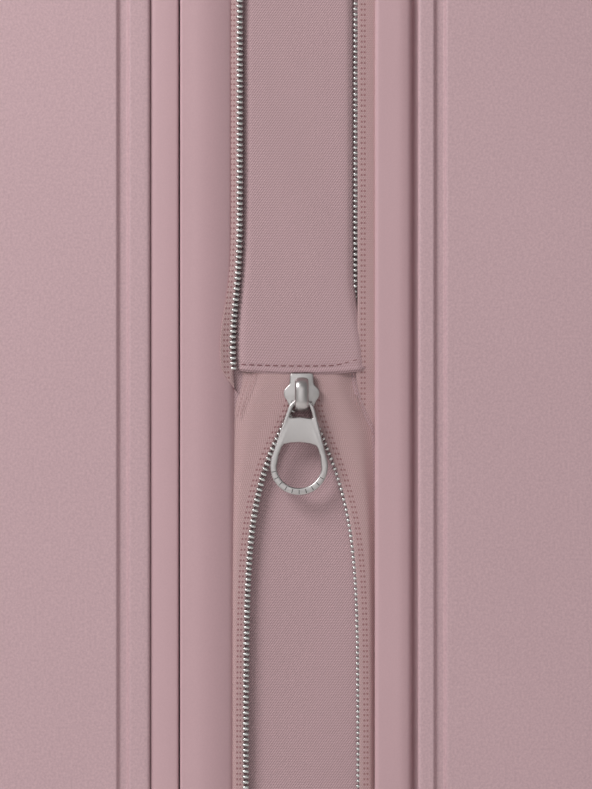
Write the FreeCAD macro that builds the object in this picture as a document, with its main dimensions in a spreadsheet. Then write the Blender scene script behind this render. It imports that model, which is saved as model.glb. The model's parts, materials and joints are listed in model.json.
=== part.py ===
"""Expandable hard shell suitcase on four swivel wheels.

The case is two thin moulded half shells.  The lid (front, -Y) closes on a
middle rim along a plain seam, hinged on the +X side and latched on the -X
side.  Between the middle rim and the rear rim a fabric gusset lets the case
grow, closed by a zipper that runs round the case.  The rear half carries the
telescopic handle and both carry handles.

Row frame: +Z up, origin on the floor under the middle of the case, lid
towards -Y, hinge side +X.  The rest position is the expanded case, closed
and standing on its wheels.  Millimetres.
"""
import FreeCAD
import Part

import math
import os
import re

from FreeCAD import Placement, Rotation, Vector

# ---------------------------------------------------------------- sizes
SIZES = [
    # the two half shells
    ("case_width", 440.0), ("case_height", 590.0), ("shell_over_wheels", 12.0),
    ("corner_round", 62.0), ("wall", 2.6),
    ("lid_depth", 104.0), ("lid_edge_round", 30.0),
    ("rear_depth", 104.0), ("rear_edge_round", 20.0),
    ("lid_groove", 7.4), ("rear_shell_groove", 5.9), ("groove_width", 4.0), ("groove_depth", 1.0),
    ("rib_pitch", 44.0), ("rib_width", 20.0), ("rib_height", 1.6),
    ("rib_end_gap", 62.0), ("rib_count", 7),
    # the rims, from the lid to the rear shell
    ("lid_rim_width", 9.7), ("lid_rim_inset", 1.2), ("seam_gap", 1.1),
    ("mid_rim_width", 17.8), ("mid_rim_inset", 0.8), ("mid_rim_round", 5.5),
    ("gusset_width", 50.1), ("rear_rim_width", 13.3), ("rear_rim_inset", 0.8),
    ("rear_groove", 1.7), ("rim_inner_inset", 10.5), ("rim_soft_edge", 1.0),
    ("tongue_length", 12.0), ("tongue_thickness", 3.0), ("fit_gap", 0.15),
    # gusset and its zipper
    ("gusset_inset", 6.4), ("cloth_thickness", 1.2), ("body_gap", 0.3),
    ("tape_thickness", 0.8), ("front_tape_width", 2.2), ("rear_tape_width", 5.4),
    ("teeth_width", 2.4), ("teeth_height", 2.0), ("tape_inset", 3.4),
    # slider and puller
    ("slider_from_rim", 24.5), ("slider_top", 7.7), ("slider_length", 11.6),
    ("slider_head", 12.4), ("slider_neck", 8.4), ("slider_inner_head", 9.2), ("slider_plate", 1.1), ("slider_mouth", 2.5),
    ("bail_width", 5.2), ("bail_wire", 1.25), ("bail_length", 11.4), ("bail_rise", 4.4),
    ("puller_thickness", 1.8), ("puller_drop", 3.0), ("puller_loop", 10.2),
    ("puller_loop_hole", 8.0), ("puller_loop_drop", 8.4), ("puller_neck", 12.0),
    ("puller_ring", 10.15), ("puller_ring_hole", 8.1), ("puller_ring_drop", 24.85),
    # hinges
    ("hinge_offset", 190.0), ("hinge_length", 50.0), ("hinge_mid_knuckle", 17.0),
    ("knuckle_radius", 3.0), ("hinge_pin_radius", 1.4), ("hinge_stand_off", 3.3),
    ("leaf_width", 6.4), ("leaf_thickness", 1.5), ("leaf_clear", 3.6), ("run_gap", 0.05),
    # latches and lock
    ("latch_offset", 150.0), ("latch_length", 58.0), ("latch_base_height", 7.0),
    ("lever_thickness", 3.0), ("lever_reach", 27.0), ("latch_pin_radius", 1.5),
    ("barrel_radius", 3.4),
    ("keeper_height", 4.2), ("keeper_width", 7.0),
    ("lock_length", 74.0), ("lock_width", 24.0), ("lock_height", 7.0),
    ("lock_from_edge", 20.0),
    ("lock_button_width", 10.0), ("lock_button_length", 12.0), ("lock_button_rise", 1.6),
    ("lock_button_travel", 1.2), ("dial_radius", 4.2), ("dial_width", 5.0), ("dial_pitch", 9.0),
    # carry handles
    ("handle_span", 150.0), ("handle_width", 14.0), ("handle_thickness", 9.0),
    ("handle_lift", 2.0), ("handle_arm", 28.0), ("lug_length", 14.0), ("handle_pin_radius", 2.2),
    ("handle_from_edge", 42.0),
    # telescopic handle
    ("tube_offset", 78.0), ("tube_x", 22.0), ("tube_y", 14.0), ("tube_wall", 1.2),
    ("slide_gap", 0.2), ("tube_from_back", 38.0), ("tube_foot", 14.0),
    ("bezel_length", 216.0), ("bezel_width", 34.0), ("bezel_height", 3.0), ("bezel_border", 4.0),
    ("cup_depth", 24.0), ("cup_wall", 2.0), ("grip_gap", 3.5), ("grip_height", 21.0),
    ("button_length", 36.0), ("button_width", 10.0), ("button_rise", 1.4), ("button_height", 4.0),
    ("button_gap", 0.5),
    ("tube_step", 6.0),
    # feet on the hinge side
    ("foot_from_end", 80.0), ("foot_length", 44.0), ("foot_width", 16.0), ("foot_from_edge", 35.0),
    # linings, straps and pocket
    ("lining_thickness", 1.0), ("lining_gap", 0.4), ("strap_width", 25.0),
    ("strap_thickness", 1.2), ("buckle_length", 46.0), ("buckle_width", 34.0),
    ("buckle_height", 8.0), ("pocket_width", 300.0), ("pocket_height", 190.0),
    ("pocket_thickness", 2.0),
    # swivel wheels
    ("wheel_radius", 25.0), ("wheel_width", 11.0), ("tyre_thickness", 4.0),
    ("web_thickness", 8.0), ("web_gap", 0.6), ("axle_radius", 2.5),
    ("trail", 15.0), ("caster_offset", 148.0), ("caster_from_face", 42.0),
    ("stem_radius", 6.0), ("stem_length", 5.4), ("swivel_gap", 0.6),
    ("turntable_radius", 21.0), ("turntable_height", 4.0),
    ("housing_length", 92.0), ("housing_width", 66.0), ("housing_height", 42.0),
    ("housing_round", 16.0),
]

doc = FreeCAD.newDocument("suitcase")
sheet = doc.addObject("Spreadsheet::Sheet", "Sizes")
for row, (alias, number) in enumerate(SIZES, start=1):
    sheet.set("A%d" % row, alias)
    sheet.set("B%d" % row, str(number))
    sheet.setAlias("B%d" % row, alias)
doc.recompute()

ALIASES = {alias for alias, number in SIZES}


def bound(text):
    """Writes an expression over the sheet's aliases as FreeCAD reads it."""
    return re.sub(r"[a-z_]+\w*", lambda m: "Sizes." + m[0] if m[0] in ALIASES else m[0], str(text))


def value(text):
    """The number that an expression over the sheet has now."""
    result = sheet.evalExpression(bound(text))
    return float(getattr(result, "Value", result))


def bind(thing, **properties):
    """Binds properties such as Length or Placement.Base.x (written at_x) to expressions."""
    for key, text in properties.items():
        path = {"at_x": "Placement.Base.x", "at_y": "Placement.Base.y",
                "at_z": "Placement.Base.z"}.get(key, key)
        thing.setExpression(path, bound(text))
    return thing


# places along Y, counted from the lid's face, and the case's other datums
FULL_DEPTH = ("(lid_depth + lid_rim_width + seam_gap + mid_rim_width + gusset_width"
              " + rear_rim_width + rear_groove + rear_depth)")
Y_FACE = "(-" + FULL_DEPTH + " / 2)"
Y_LID_EDGE = "(" + Y_FACE + " + lid_depth)"
Y_SEAM_LID = "(" + Y_LID_EDGE + " + lid_rim_width)"
Y_SEAM = "(" + Y_SEAM_LID + " + seam_gap / 2)"
Y_MID = "(" + Y_SEAM_LID + " + seam_gap)"
Y_GUSSET = "(" + Y_MID + " + mid_rim_width)"
Y_REAR = "(" + Y_GUSSET + " + gusset_width)"
Y_REAR_END = "(" + Y_REAR + " + rear_rim_width)"
Y_REAR_EDGE = "(" + Y_REAR_END + " + rear_groove)"
Y_BACK = "(" + Y_REAR_EDGE + " + rear_depth)"
Z_LOW = "(2 * wheel_radius + shell_over_wheels)"
Z_MIDDLE = "(" + Z_LOW + " + case_height / 2)"
Z_TOP = "(" + Z_LOW + " + case_height)"
X_SIDE = "(case_width / 2)"

FORWARD = Rotation(Vector(1, 0, 0), 90)    # a body's own +Z becomes row -Y
BACKWARD = Rotation(Vector(1, 0, 0), -90)  # a body's own +Z becomes row +Y


# ---------------------------------------------------------------- helpers
def box(name, sizes, low):
    """A Part::Box with bound sizes and lowest corner."""
    made = doc.addObject("Part::Box", name)
    bind(made, Length=sizes[0], Width=sizes[1], Height=sizes[2],
         at_x=low[0], at_y=low[1], at_z=low[2])
    return made


def middle_box(name, sizes, centre):
    """A Part::Box with bound sizes, placed by its centre."""
    low = ["(%s) - (%s) / 2" % (c, s) for c, s in zip(centre, sizes)]
    return box(name, sizes, low)


TURNS = {"z": Rotation(), "x": Rotation(Vector(0, 1, 0), 90), "y": Rotation(Vector(1, 0, 0), -90)}


def cylinder(name, radius, length, start, axis="z"):
    """A Part::Cylinder that begins at a point and runs along a row axis."""
    made = doc.addObject("Part::Cylinder", name)
    made.Placement = Placement(Vector(), TURNS[axis])
    bind(made, Radius=radius, Height=length, at_x=start[0], at_y=start[1], at_z=start[2])
    return made


def fuse(name, *parts):
    made = doc.addObject("Part::MultiFuse", name)
    made.Shapes = list(parts)
    return made


def cut(name, base, tool):
    made = doc.addObject("Part::Cut", name)
    made.Base, made.Tool = base, tool
    return made


def group(name, *parts):
    made = doc.addObject("Part::Compound", name)
    made.Links = list(parts)
    return made


def round_edges(name, base, radius, wanted):
    """A Part::Fillet on the edges for which wanted(edge) is true."""
    doc.recompute()
    made = doc.addObject("Part::Fillet", name)
    made.Base = base
    size = value(radius)
    made.Edges = [(i + 1, size, size) for i, e in enumerate(base.Shape.Edges) if wanted(e)]
    return made


def along(direction):
    """A test for straight edges along a direction."""
    def test(edge):
        if not isinstance(edge.Curve, Part.Line):
            return False
        return abs(abs(edge.Curve.Direction.dot(direction)) - 1) < 1e-6
    return test


def new_body(label, turn=None, at=("0", "0", "0")):
    body = doc.addObject("PartDesign::Body", label)
    body.Label = label
    body.Placement = Placement(Vector(), turn or Rotation())
    bind(body, at_x=at[0], at_y=at[1], at_z=at[2])
    return body


def flat_sketch(body, name, height="0", plane="XY_Plane"):
    """A sketch on one of the body's own planes, lifted along its normal."""
    sketch = body.newObject("Sketcher::SketchObject", name)
    origin = [f for f in body.Origin.OriginFeatures if f.Role == plane][0]
    sketch.AttachmentSupport = [(origin, "")]
    sketch.MapMode = "FlatFace"
    sketch.setExpression("AttachmentOffset.Base.z", bound(height))
    return sketch


def size_it(sketch, constraint, text):
    """Adds a dimension and binds it to an expression."""
    number = sketch.addConstraint(constraint)
    sketch.setExpression("Constraints[%d]" % number, bound(text))


def rounded_rectangle(sketch, width, height, radius, centre=("0", "0")):
    """Four lines and four tangent arcs, dimensioned from the sketch's origin."""
    import Sketcher
    w, h, r = value(width) / 2, value(height) / 2, value(radius)
    cx, cy = value(centre[0]), value(centre[1])
    first = sketch.GeometryCount
    corner = [(cx + w - r, cy + h - r), (cx - w + r, cy + h - r),
              (cx - w + r, cy - h + r), (cx + w - r, cy - h + r)]
    arcs, lines = [], []
    for k, (x, y) in enumerate(corner):
        circle = Part.Circle(Vector(x, y, 0), Vector(0, 0, 1), r)
        arcs.append(Part.ArcOfCircle(circle, k * math.pi / 2, (k + 1) * math.pi / 2))
    for k in range(4):
        lines.append(Part.LineSegment(arcs[k].EndPoint, arcs[(k + 1) % 4].StartPoint))
    sketch.addGeometry(arcs + lines, False)
    arc, line = (lambda k: first + k % 4), (lambda k: first + 4 + k % 4)
    rules = []
    for k in range(4):
        rules.append(Sketcher.Constraint("Tangent", arc(k), 2, line(k), 1))
        rules.append(Sketcher.Constraint("Tangent", line(k), 2, arc(k + 1), 1))
        rules.append(Sketcher.Constraint("Horizontal" if k % 2 == 0 else "Vertical", line(k)))
    rules += [Sketcher.Constraint("Equal", arc(0), arc(k)) for k in (1, 2, 3)]
    sketch.addConstraint(rules)
    top, left, bottom, right = (line(k) for k in range(4))
    size_it(sketch, Sketcher.Constraint("Radius", arc(0), r), radius)
    half_w, half_h = "(%s) / 2" % width, "(%s) / 2" % height
    reach = {right: ("DistanceX", cx + w, "(%s) + %s" % (centre[0], half_w)),
             left: ("DistanceX", cx - w, "(%s) - %s" % (centre[0], half_w)),
             top: ("DistanceY", cy + h, "(%s) + %s" % (centre[1], half_h)),
             bottom: ("DistanceY", cy - h, "(%s) - %s" % (centre[1], half_h))}
    for side, (kind, number, text) in reach.items():
        size_it(sketch, Sketcher.Constraint(kind, -1, 1, side, 1, number), text)


def pad(body, sketch, length):
    made = body.newObject("PartDesign::Pad", sketch.Name + "_pad")
    made.Profile = sketch
    bind(made, Length=length)
    return made


def pocket(body, sketch, length, forward=True):
    """A pocket that cuts towards the sketch's own +Z when forward."""
    made = body.newObject("PartDesign::Pocket", sketch.Name + "_pocket")
    made.Profile = sketch
    made.Reversed = forward
    bind(made, Length=length)
    return made


def soften(body, base, radius, wanted):
    """A PartDesign fillet on the edges of a feature for which wanted(edge) is true."""
    doc.recompute()
    names = ["Edge%d" % (i + 1) for i, e in enumerate(base.Shape.Edges) if wanted(e)]
    made = body.newObject("PartDesign::Fillet", base.Name + "_soft")
    made.Base = (base, names)
    bind(made, Radius=radius)
    return made


def level(height, reach=None):
    """A test for edges that lie at one height of the body, outside a distance from its axis."""
    number = value(height)

    def test(edge):
        b = edge.BoundBox
        flat = abs(b.ZMin - number) < 1e-4 and abs(b.ZMax - number) < 1e-4
        return flat and (reach is None or max(abs(b.XMin), abs(b.XMax)) > value(reach))
    return test


def framed(inset):
    """Width, height and corner radius of the case's outline, drawn in by inset."""
    return ("case_width - 2 * (%s)" % inset, "case_height - 2 * (%s)" % inset,
            "corner_round - (%s)" % inset)


NODES = {}


def node(label, thing):
    """Names the object that one STEP file is written from."""
    thing.Label = label
    NODES[label] = thing
    return thing


# ---------------------------------------------------------------- shells
def shell(label, depth, edge_round, turn, y_edge, groove):
    """A thin moulded half shell: own +Z runs from its open edge to its face."""
    body = new_body(label, turn, ("0", y_edge, Z_MIDDLE))
    outline = flat_sketch(body, label + "_outline")
    rounded_rectangle(outline, *framed("0"))
    pad(body, outline, depth)
    hollow = flat_sketch(body, label + "_hollow")
    rounded_rectangle(hollow, *framed("wall"))
    emptied = pocket(body, hollow, depth + " - wall")
    inside = soften(body, emptied, edge_round + " - wall", level(depth + " - wall"))
    soften(body, inside, edge_round, level(depth))
    ring = flat_sketch(body, label + "_groove", groove)
    rounded_rectangle(ring, *framed("-1"))
    rounded_rectangle(ring, *framed("groove_depth"))
    pocket(body, ring, "groove_width")
    doc.recompute()
    rib = flat_sketch(body, label + "_rib", depth)
    first = "-(rib_count - 1) * rib_pitch / 2"
    tall = "case_height - 2 * rib_end_gap"
    rounded_rectangle(rib, "rib_width", tall, "rib_width / 2 - 0.5", (first, "0"))
    raised = pad(body, rib, "rib_height")
    doc.recompute()
    row_of = body.newObject("PartDesign::LinearPattern", label + "_ribs")
    row_of.Originals = [raised]
    row_of.Direction = (rib, ["H_Axis"])
    bind(row_of, Length="(rib_count - 1) * rib_pitch", Occurrences="rib_count")
    body.Tip = row_of
    return body


TUBE_Y = "(" + Y_BACK + " - tube_from_back)"
node("lid_shell", shell("lid_shell", "lid_depth", "lid_edge_round", FORWARD, Y_LID_EDGE,
                        "lid_groove"))

rear_blank = shell("rear_blank", "rear_depth", "rear_edge_round", BACKWARD, Y_REAR_EDGE,
                   "rear_shell_groove")
handle_hole = middle_box(
    "handle_hole", ("bezel_length - 2 * bezel_border", "bezel_width - 2 * bezel_border", "4 * wall"),
    ("0", TUBE_Y, Z_TOP))
node("rear_shell", cut("rear_shell", rear_blank, handle_hole))


def envelope(label, depth, edge_round, turn, y_edge):
    """The outside of a half shell as a solid, to cut what sits against it."""
    body = new_body(label, turn, ("0", y_edge, Z_MIDDLE))
    outline = flat_sketch(body, label + "_outline")
    rounded_rectangle(outline, *framed("0"))
    solid = pad(body, outline, depth)
    soften(body, solid, edge_round, level(depth))
    return body


lid_envelope = envelope("lid_envelope", "lid_depth", "lid_edge_round", FORWARD, Y_LID_EDGE)
rear_envelope = envelope("rear_envelope", "rear_depth", "rear_edge_round", BACKWARD, Y_REAR_EDGE)


# ---------------------------------------------------------------- rims
def rim(label, width, inset, turn, y_start, tongue, rounds):
    """A ring round the case; with a tongue it also reaches inside its shell.

    Own +Z runs away from the shell, and rounds lists (height, radius) of its outer edges."""
    body = new_body(label, turn, ("0", y_start, Z_MIDDLE))
    ring = flat_sketch(body, label + "_ring")
    rounded_rectangle(ring, *framed(inset))
    rounded_rectangle(ring, *framed("rim_inner_inset"))
    last = pad(body, ring, width)
    for height, radius in rounds:
        last = soften(body, last, radius, level(height, "case_width / 2 - %s - 0.1" % inset))
    if tongue:
        doc.recompute()
        lip = flat_sketch(body, label + "_tongue", "-(" + tongue + ")")
        outer = "wall + fit_gap"
        rounded_rectangle(lip, *framed(outer))
        rounded_rectangle(lip, *framed(outer + " + tongue_thickness"))
        pad(body, lip, tongue)
    return node(label, body)


rim("lid_rim", "lid_rim_width", "lid_rim_inset", BACKWARD, Y_LID_EDGE, "tongue_length",
    [("lid_rim_width", "rim_soft_edge")])
rim("mid_rim", "mid_rim_width", "mid_rim_inset", BACKWARD, Y_MID, None,
    [("0", "rim_soft_edge"), ("mid_rim_width", "mid_rim_round")])
rim("rear_rim", "rear_rim_width", "rear_rim_inset", FORWARD, Y_REAR_END,
    "tongue_length + rear_groove", [("0", "1.5 * rim_soft_edge"), ("rear_rim_width", "rim_soft_edge")])


def ring_node(label, outer_inset, thickness, y_start, width):
    """A plain ring that follows the case's outline."""
    body = new_body(label, BACKWARD, ("0", y_start, Z_MIDDLE))
    ring = flat_sketch(body, label + "_ring")
    rounded_rectangle(ring, *framed(outer_inset))
    rounded_rectangle(ring, *framed("(%s) + (%s)" % (outer_inset, thickness)))
    pad(body, ring, width)
    return node(label, body)


ring_node("gusset", "gusset_inset", "cloth_thickness", Y_GUSSET + " + body_gap",
          "gusset_width - body_gap")
ring_node("front_zip_tape", "tape_inset", "tape_thickness", Y_GUSSET, "front_tape_width")
ring_node("rear_zip_tape", "tape_inset", "tape_thickness", Y_REAR + " - rear_tape_width",
          "rear_tape_width")
ring_node("front_zip_teeth", "tape_inset - teeth_height / 2", "teeth_height",
          Y_GUSSET + " + front_tape_width", "teeth_width / 2")
ring_node("rear_zip_teeth", "tape_inset - teeth_height / 2", "teeth_height",
          Y_REAR + " - rear_tape_width - teeth_width / 2", "teeth_width / 2")


# ---------------------------------------------------------------- linings
def lining(label, depth, floor_gap, turn, y_edge):
    """A cloth tray inside a shell, from behind the rim's tongue to the floor."""
    body = new_body(label, turn, ("0", y_edge, Z_MIDDLE))
    start = "tongue_length + lining_gap"
    outer = "wall + lining_gap"
    tray = flat_sketch(body, label + "_tray", start)
    tall = "%s - wall - (%s) - (%s)" % (depth, floor_gap, start)
    rounded_rectangle(tray, *framed(outer))
    pad(body, tray, tall)
    space = flat_sketch(body, label + "_space", start)
    rounded_rectangle(space, *framed(outer + " + lining_thickness"))
    emptied = pocket(body, space, tall + " - lining_thickness")
    inside = soften(body, emptied, "lid_edge_round - wall - lining_thickness",
                    level("(%s) + (%s) - lining_thickness" % (start, tall)))
    soften(body, inside, "lid_edge_round - wall", level("(%s) + (%s)" % (start, tall)))
    return node(label, body)


TUNNEL = "(tube_from_back + bezel_width / 2 - bezel_border + 3 - wall)"
lining("lid_lining", "lid_depth", "lining_gap", FORWARD, Y_LID_EDGE)
lining("rear_lining", "rear_depth", TUNNEL, BACKWARD, Y_REAR_EDGE)

# ---------------------------------------------------------------- straps and pocket
Y_FLOOR = "(" + Y_BACK + " - wall - " + TUNNEL + " - lining_thickness)"
STRAP_LENGTH = "(case_height - 2 * corner_round)"
strap_arms = []
for side in (1, -1):
    arm = doc.addObject("Part::Box", "strap_arm_%s" % ("left" if side < 0 else "right"))
    bind(arm, Length="strap_width", Width="strap_thickness", Height=STRAP_LENGTH)
    tilt = Rotation(Vector(0, 1, 0), side * 28)
    arm.Placement = Placement(Vector(), tilt)
    swing = "%d * sin(28)" % side
    bind(arm, at_x="-strap_width / 2 * cos(28) - %s / 2 * %s" % (STRAP_LENGTH, swing),
         at_y=Y_FLOOR + " - lining_gap - strap_thickness",
         at_z=Z_MIDDLE + " - %s / 2 * cos(28) + strap_width / 2 * %s" % (STRAP_LENGTH, swing))
    strap_arms.append(arm)
node("packing_straps", fuse("packing_straps", *strap_arms))
node("strap_buckle", middle_box(
    "strap_buckle", ("buckle_length", "buckle_height", "buckle_width"),
    ("0", Y_FLOOR + " - lining_gap - strap_thickness - buckle_height / 2", Z_MIDDLE)))
Y_LID_FLOOR = "(" + Y_FACE + " + wall + lining_gap + lining_thickness)"
node("lid_pocket", middle_box(
    "lid_pocket", ("pocket_width", "pocket_thickness", "pocket_height"),
    ("0", Y_LID_FLOOR + " + lining_gap + pocket_thickness / 2", Z_MIDDLE + " - case_height / 6")))


# ---------------------------------------------------------------- hinges
HINGE_X = "(" + X_SIDE + " + hinge_stand_off)"
UNITS = {"upper": "+", "lower": "-"}


def hinge_leaf(label, side, spans, pins):
    """Leaves of both hinges: side -1 is the lid's and 1 the frame's.

    spans lists (start, length) of a leaf's knuckles along the hinge's own length, and
    pins are the pins that stay in these leaves."""
    leaves = []
    inset = "lid_rim_inset" if side < 0 else "mid_rim_inset"
    for unit, sign in UNITS.items():
        name = "%s_%s" % (label, unit)
        low_z = "(%s %s hinge_offset - hinge_length / 2)" % (Z_MIDDLE, sign)
        near = "leaf_clear" if side > 0 else "-leaf_clear - leaf_width"
        plate = box(name + "_plate", ("leaf_thickness", "leaf_width", "hinge_length"),
                    (X_SIDE + " - " + inset, Y_SEAM + " + " + near, low_z))
        pieces, holes = [plate], []
        for k, (start, length) in enumerate(spans):
            base = "(%s + %s)" % (low_z, start)
            pieces.append(cylinder("%s_knuckle%d" % (name, k), "knuckle_radius", length,
                                   (HINGE_X, Y_SEAM, base)))
            tab = "0" if side > 0 else "-leaf_clear - leaf_width"
            pieces.append(box("%s_tab%d" % (name, k),
                              ("leaf_thickness", "leaf_clear + leaf_width", length),
                              (HINGE_X + " - knuckle_radius", Y_SEAM + " + " + tab, base)))
            holes.append(cylinder("%s_bore%d" % (name, k), "hinge_pin_radius + run_gap", length,
                                  (HINGE_X, Y_SEAM, base)))
        bores = holes[0] if len(holes) == 1 else fuse(name + "_bores", *holes)
        leaves.append(cut(name, fuse(name + "_solid", *pieces), bores))
    return node(label, group(label, *leaves, *pins))


END_KNUCKLE = "((hinge_length - hinge_mid_knuckle) / 2 - body_gap)"
hinge_pins = [cylinder("hinge_pin_" + unit, "hinge_pin_radius", "hinge_length",
                       (HINGE_X, Y_SEAM,
                        "%s %s hinge_offset - hinge_length / 2" % (Z_MIDDLE, sign)))
              for unit, sign in UNITS.items()]
hinge_leaf("hinge_leaves_frame", 1, [
    ("0", END_KNUCKLE), ("hinge_length - " + END_KNUCKLE, END_KNUCKLE)], hinge_pins)
hinge_leaf("hinge_leaves_lid", -1, [
    ("(hinge_length - hinge_mid_knuckle) / 2", "hinge_mid_knuckle")], [])

# ---------------------------------------------------------------- latches
BASE_X = "(-" + X_SIDE + " + mid_rim_inset)"
PIN_Y = "(" + Y_MID + " + 8.5)"
PIN_X = "(" + BASE_X + " - latch_base_height + 2)"
bases, pins = [], []
for unit, sign in UNITS.items():
    name = "latch_" + unit
    middle = "(%s %s latch_offset)" % (Z_MIDDLE, sign)
    ears = []
    for end in ("-", "+"):
        ears.append(middle_box(
            "%s_ear%s" % (name, "low" if end == "-" else "high"),
            ("latch_base_height", "8", "4"),
            (BASE_X + " - latch_base_height / 2", PIN_Y,
             "%s %s (latch_length / 2 - 2)" % (middle, end))))
    plate = middle_box(name + "_plate", ("1.2", "10", "latch_length"),
                       (BASE_X + " - 0.6", Y_MID + " + 6.5", middle))
    bore = cylinder(name + "_bore", "latch_pin_radius + run_gap", "latch_length",
                    (PIN_X, PIN_Y, middle + " - latch_length / 2"))
    bases.append(cut(name + "_base", fuse(name + "_solid", plate, *ears), bore))
    pins.append(cylinder(name + "_pin", "latch_pin_radius", "latch_length",
                         (PIN_X, PIN_Y, middle + " - latch_length / 2")))
    barrel_length = "(latch_length - 8 - 2 * body_gap)"
    barrel = cylinder(name + "_barrel", "barrel_radius", barrel_length,
                      (PIN_X, PIN_Y, "%s - %s / 2" % (middle, barrel_length)))
    flap = middle_box(name + "_flap", ("lever_thickness", "lever_reach", barrel_length),
                      (PIN_X + " - barrel_radius + lever_thickness / 2",
                       PIN_Y + " - lever_reach / 2", middle))
    eye = cylinder(name + "_eye", "latch_pin_radius + run_gap", barrel_length,
                   (PIN_X, PIN_Y, "%s - %s / 2" % (middle, barrel_length)))
    soft = round_edges(name + "_soft", flap, "1.4", along(Vector(0, 0, 1)))
    lever = cut("latch_lever_" + unit, fuse(name + "_lever", soft, barrel), eye)
    node("latch_lever_" + unit, lever)
node("latch_bases", group("latch_bases", *bases, *pins))
keepers = []
for unit, sign in UNITS.items():
    keepers.append(middle_box(
        "keeper_" + unit, ("keeper_height - 1.2", "keeper_width", "latch_length - 16"),
        ("-" + X_SIDE + " + lid_rim_inset - (keeper_height - 1.2) / 2",
         Y_SEAM_LID + " - keeper_width / 2 - 1", "%s %s latch_offset" % (Z_MIDDLE, sign))))
node("latch_keepers", group("latch_keepers", *keepers))

# ---------------------------------------------------------------- number lock
LOCK_Y = "(" + Y_LID_EDGE + " - lock_from_edge - lock_width / 2)"
LOCK_X = "(-" + X_SIDE + ")"
plate = middle_box("lock_blank", ("lock_height", "lock_width", "lock_length"),
                   (LOCK_X + " - lock_height / 2", LOCK_Y, Z_MIDDLE))
plate_soft = round_edges("lock_soft", plate, "6", along(Vector(1, 0, 0)))
DIAL_X = "(" + LOCK_X + " - dial_radius - 0.4)"
DIAL_Z = ["(%s - 8 - (%d) * dial_pitch)" % (Z_MIDDLE, k) for k in (-1, 0, 1)]
wells = [middle_box("dial_well%d" % k,
                    ("lock_height + 4", "2 * dial_radius + 1.2", "dial_width + 1.2"),
                    (LOCK_X + " - lock_height / 2", LOCK_Y, at_z))
         for k, at_z in enumerate(DIAL_Z)]
BUTTON_Z = "(" + Z_MIDDLE + " + 20)"
wells.append(middle_box("button_well", ("lock_height + 4", "lock_button_width + 2 * body_gap",
                                        "lock_button_length + 2 * body_gap"),
                        (LOCK_X + " - lock_height / 2", LOCK_Y, BUTTON_Z)))
rod = cylinder("dial_rod", "1.2", "3 * dial_pitch + 6",
               (DIAL_X, LOCK_Y, DIAL_Z[2] + " - dial_pitch / 2 - 3"))
node("lock_plate", fuse("lock_plate", cut("lock_holed", plate_soft, fuse("lock_wells", *wells)),
                        rod))
for k, at_z in enumerate(DIAL_Z):
    disc = cylinder("dial%d_disc" % k, "dial_radius", "dial_width",
                    (DIAL_X, LOCK_Y, at_z + " - dial_width / 2"))
    eye = cylinder("dial%d_eye" % k, "1.2 + run_gap", "dial_width",
                   (DIAL_X, LOCK_Y, at_z + " - dial_width / 2"))
    node("lock_dial_%d" % (k + 1), cut("lock_dial_%d" % (k + 1), disc, eye))
LOCK_BUTTON = "(lock_height + lock_button_rise - lock_button_travel - 2 * body_gap)"
node("lock_button", middle_box("lock_button", (LOCK_BUTTON, "lock_button_width", "lock_button_length"),
                               (LOCK_X + " - lock_height - lock_button_rise + %s / 2" % LOCK_BUTTON,
                                LOCK_Y, BUTTON_Z)))


# ---------------------------------------------------------------- slider and puller
SLIDER_Y = "(" + Y_GUSSET + " + slider_from_rim)"
SLIDER_X = "(" + X_SIDE + " - tape_inset - slider_mouth / 2 - slider_plate)"
SLIDER_FACE = "(" + SLIDER_X + " + 2 * slider_plate + slider_mouth)"
plates = []
for level_name, base, head in (("inner", SLIDER_X, "slider_inner_head"),
                               ("outer", SLIDER_FACE + " - slider_plate", "slider_head")):
    wings = middle_box("slider_wings_" + level_name,
                       ("slider_plate", head, "slider_length * 0.5"),
                       (base + " + slider_plate / 2", SLIDER_Y,
                        Z_MIDDLE + " + slider_top - slider_length * 0.62"))
    neck = middle_box("slider_neck_" + level_name,
                      ("slider_plate", "slider_neck", "slider_length"),
                      (base + " + slider_plate / 2", SLIDER_Y,
                       Z_MIDDLE + " + slider_top - slider_length / 2"))
    wings_soft = round_edges("slider_wings_%s_soft" % level_name, wings, "2.2",
                             along(Vector(1, 0, 0)))
    neck_soft = round_edges("slider_neck_%s_soft" % level_name, neck, "1.6",
                            along(Vector(1, 0, 0)))
    plates += [wings_soft, neck_soft]
post = middle_box("slider_post", ("slider_mouth", "2.2", "4.4"),
                  (SLIDER_X + " + slider_plate + slider_mouth / 2", SLIDER_Y,
                   Z_MIDDLE + " + slider_top - 2.8"))
bail_block = middle_box("bail_block", ("bail_rise", "bail_width", "bail_length"),
                        (SLIDER_FACE + " + bail_rise / 2", SLIDER_Y, Z_MIDDLE))
bail_soft = round_edges("bail_soft", bail_block, "1.8", lambda e: (
    along(Vector(0, 1, 0))(e) and e.BoundBox.XMin > value(SLIDER_FACE) + 1))
bail_space = middle_box("bail_space", ("bail_rise", "2 * bail_width",
                                       "bail_length - 2 * bail_wire"),
                        (SLIDER_FACE + " + bail_rise / 2 - bail_wire", SLIDER_Y, Z_MIDDLE))
bail = cut("bail", bail_soft, bail_space)
node("zip_slider", fuse("zip_slider", *plates, post, bail))

PULLER_X = "(" + SLIDER_FACE + " + 0.9)"
PIVOT_Z = "(" + Z_MIDDLE + " - puller_drop)"


def puller_slab(name, width, low, high):
    """A flat piece of the puller between two drops under the middle of the case."""
    return middle_box(name, ("puller_thickness", width, "(%s) - (%s)" % (low, high)),
                      (PULLER_X + " + puller_thickness / 2", SLIDER_Y,
                       Z_MIDDLE + " - ((%s) + (%s)) / 2" % (low, high)))


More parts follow.
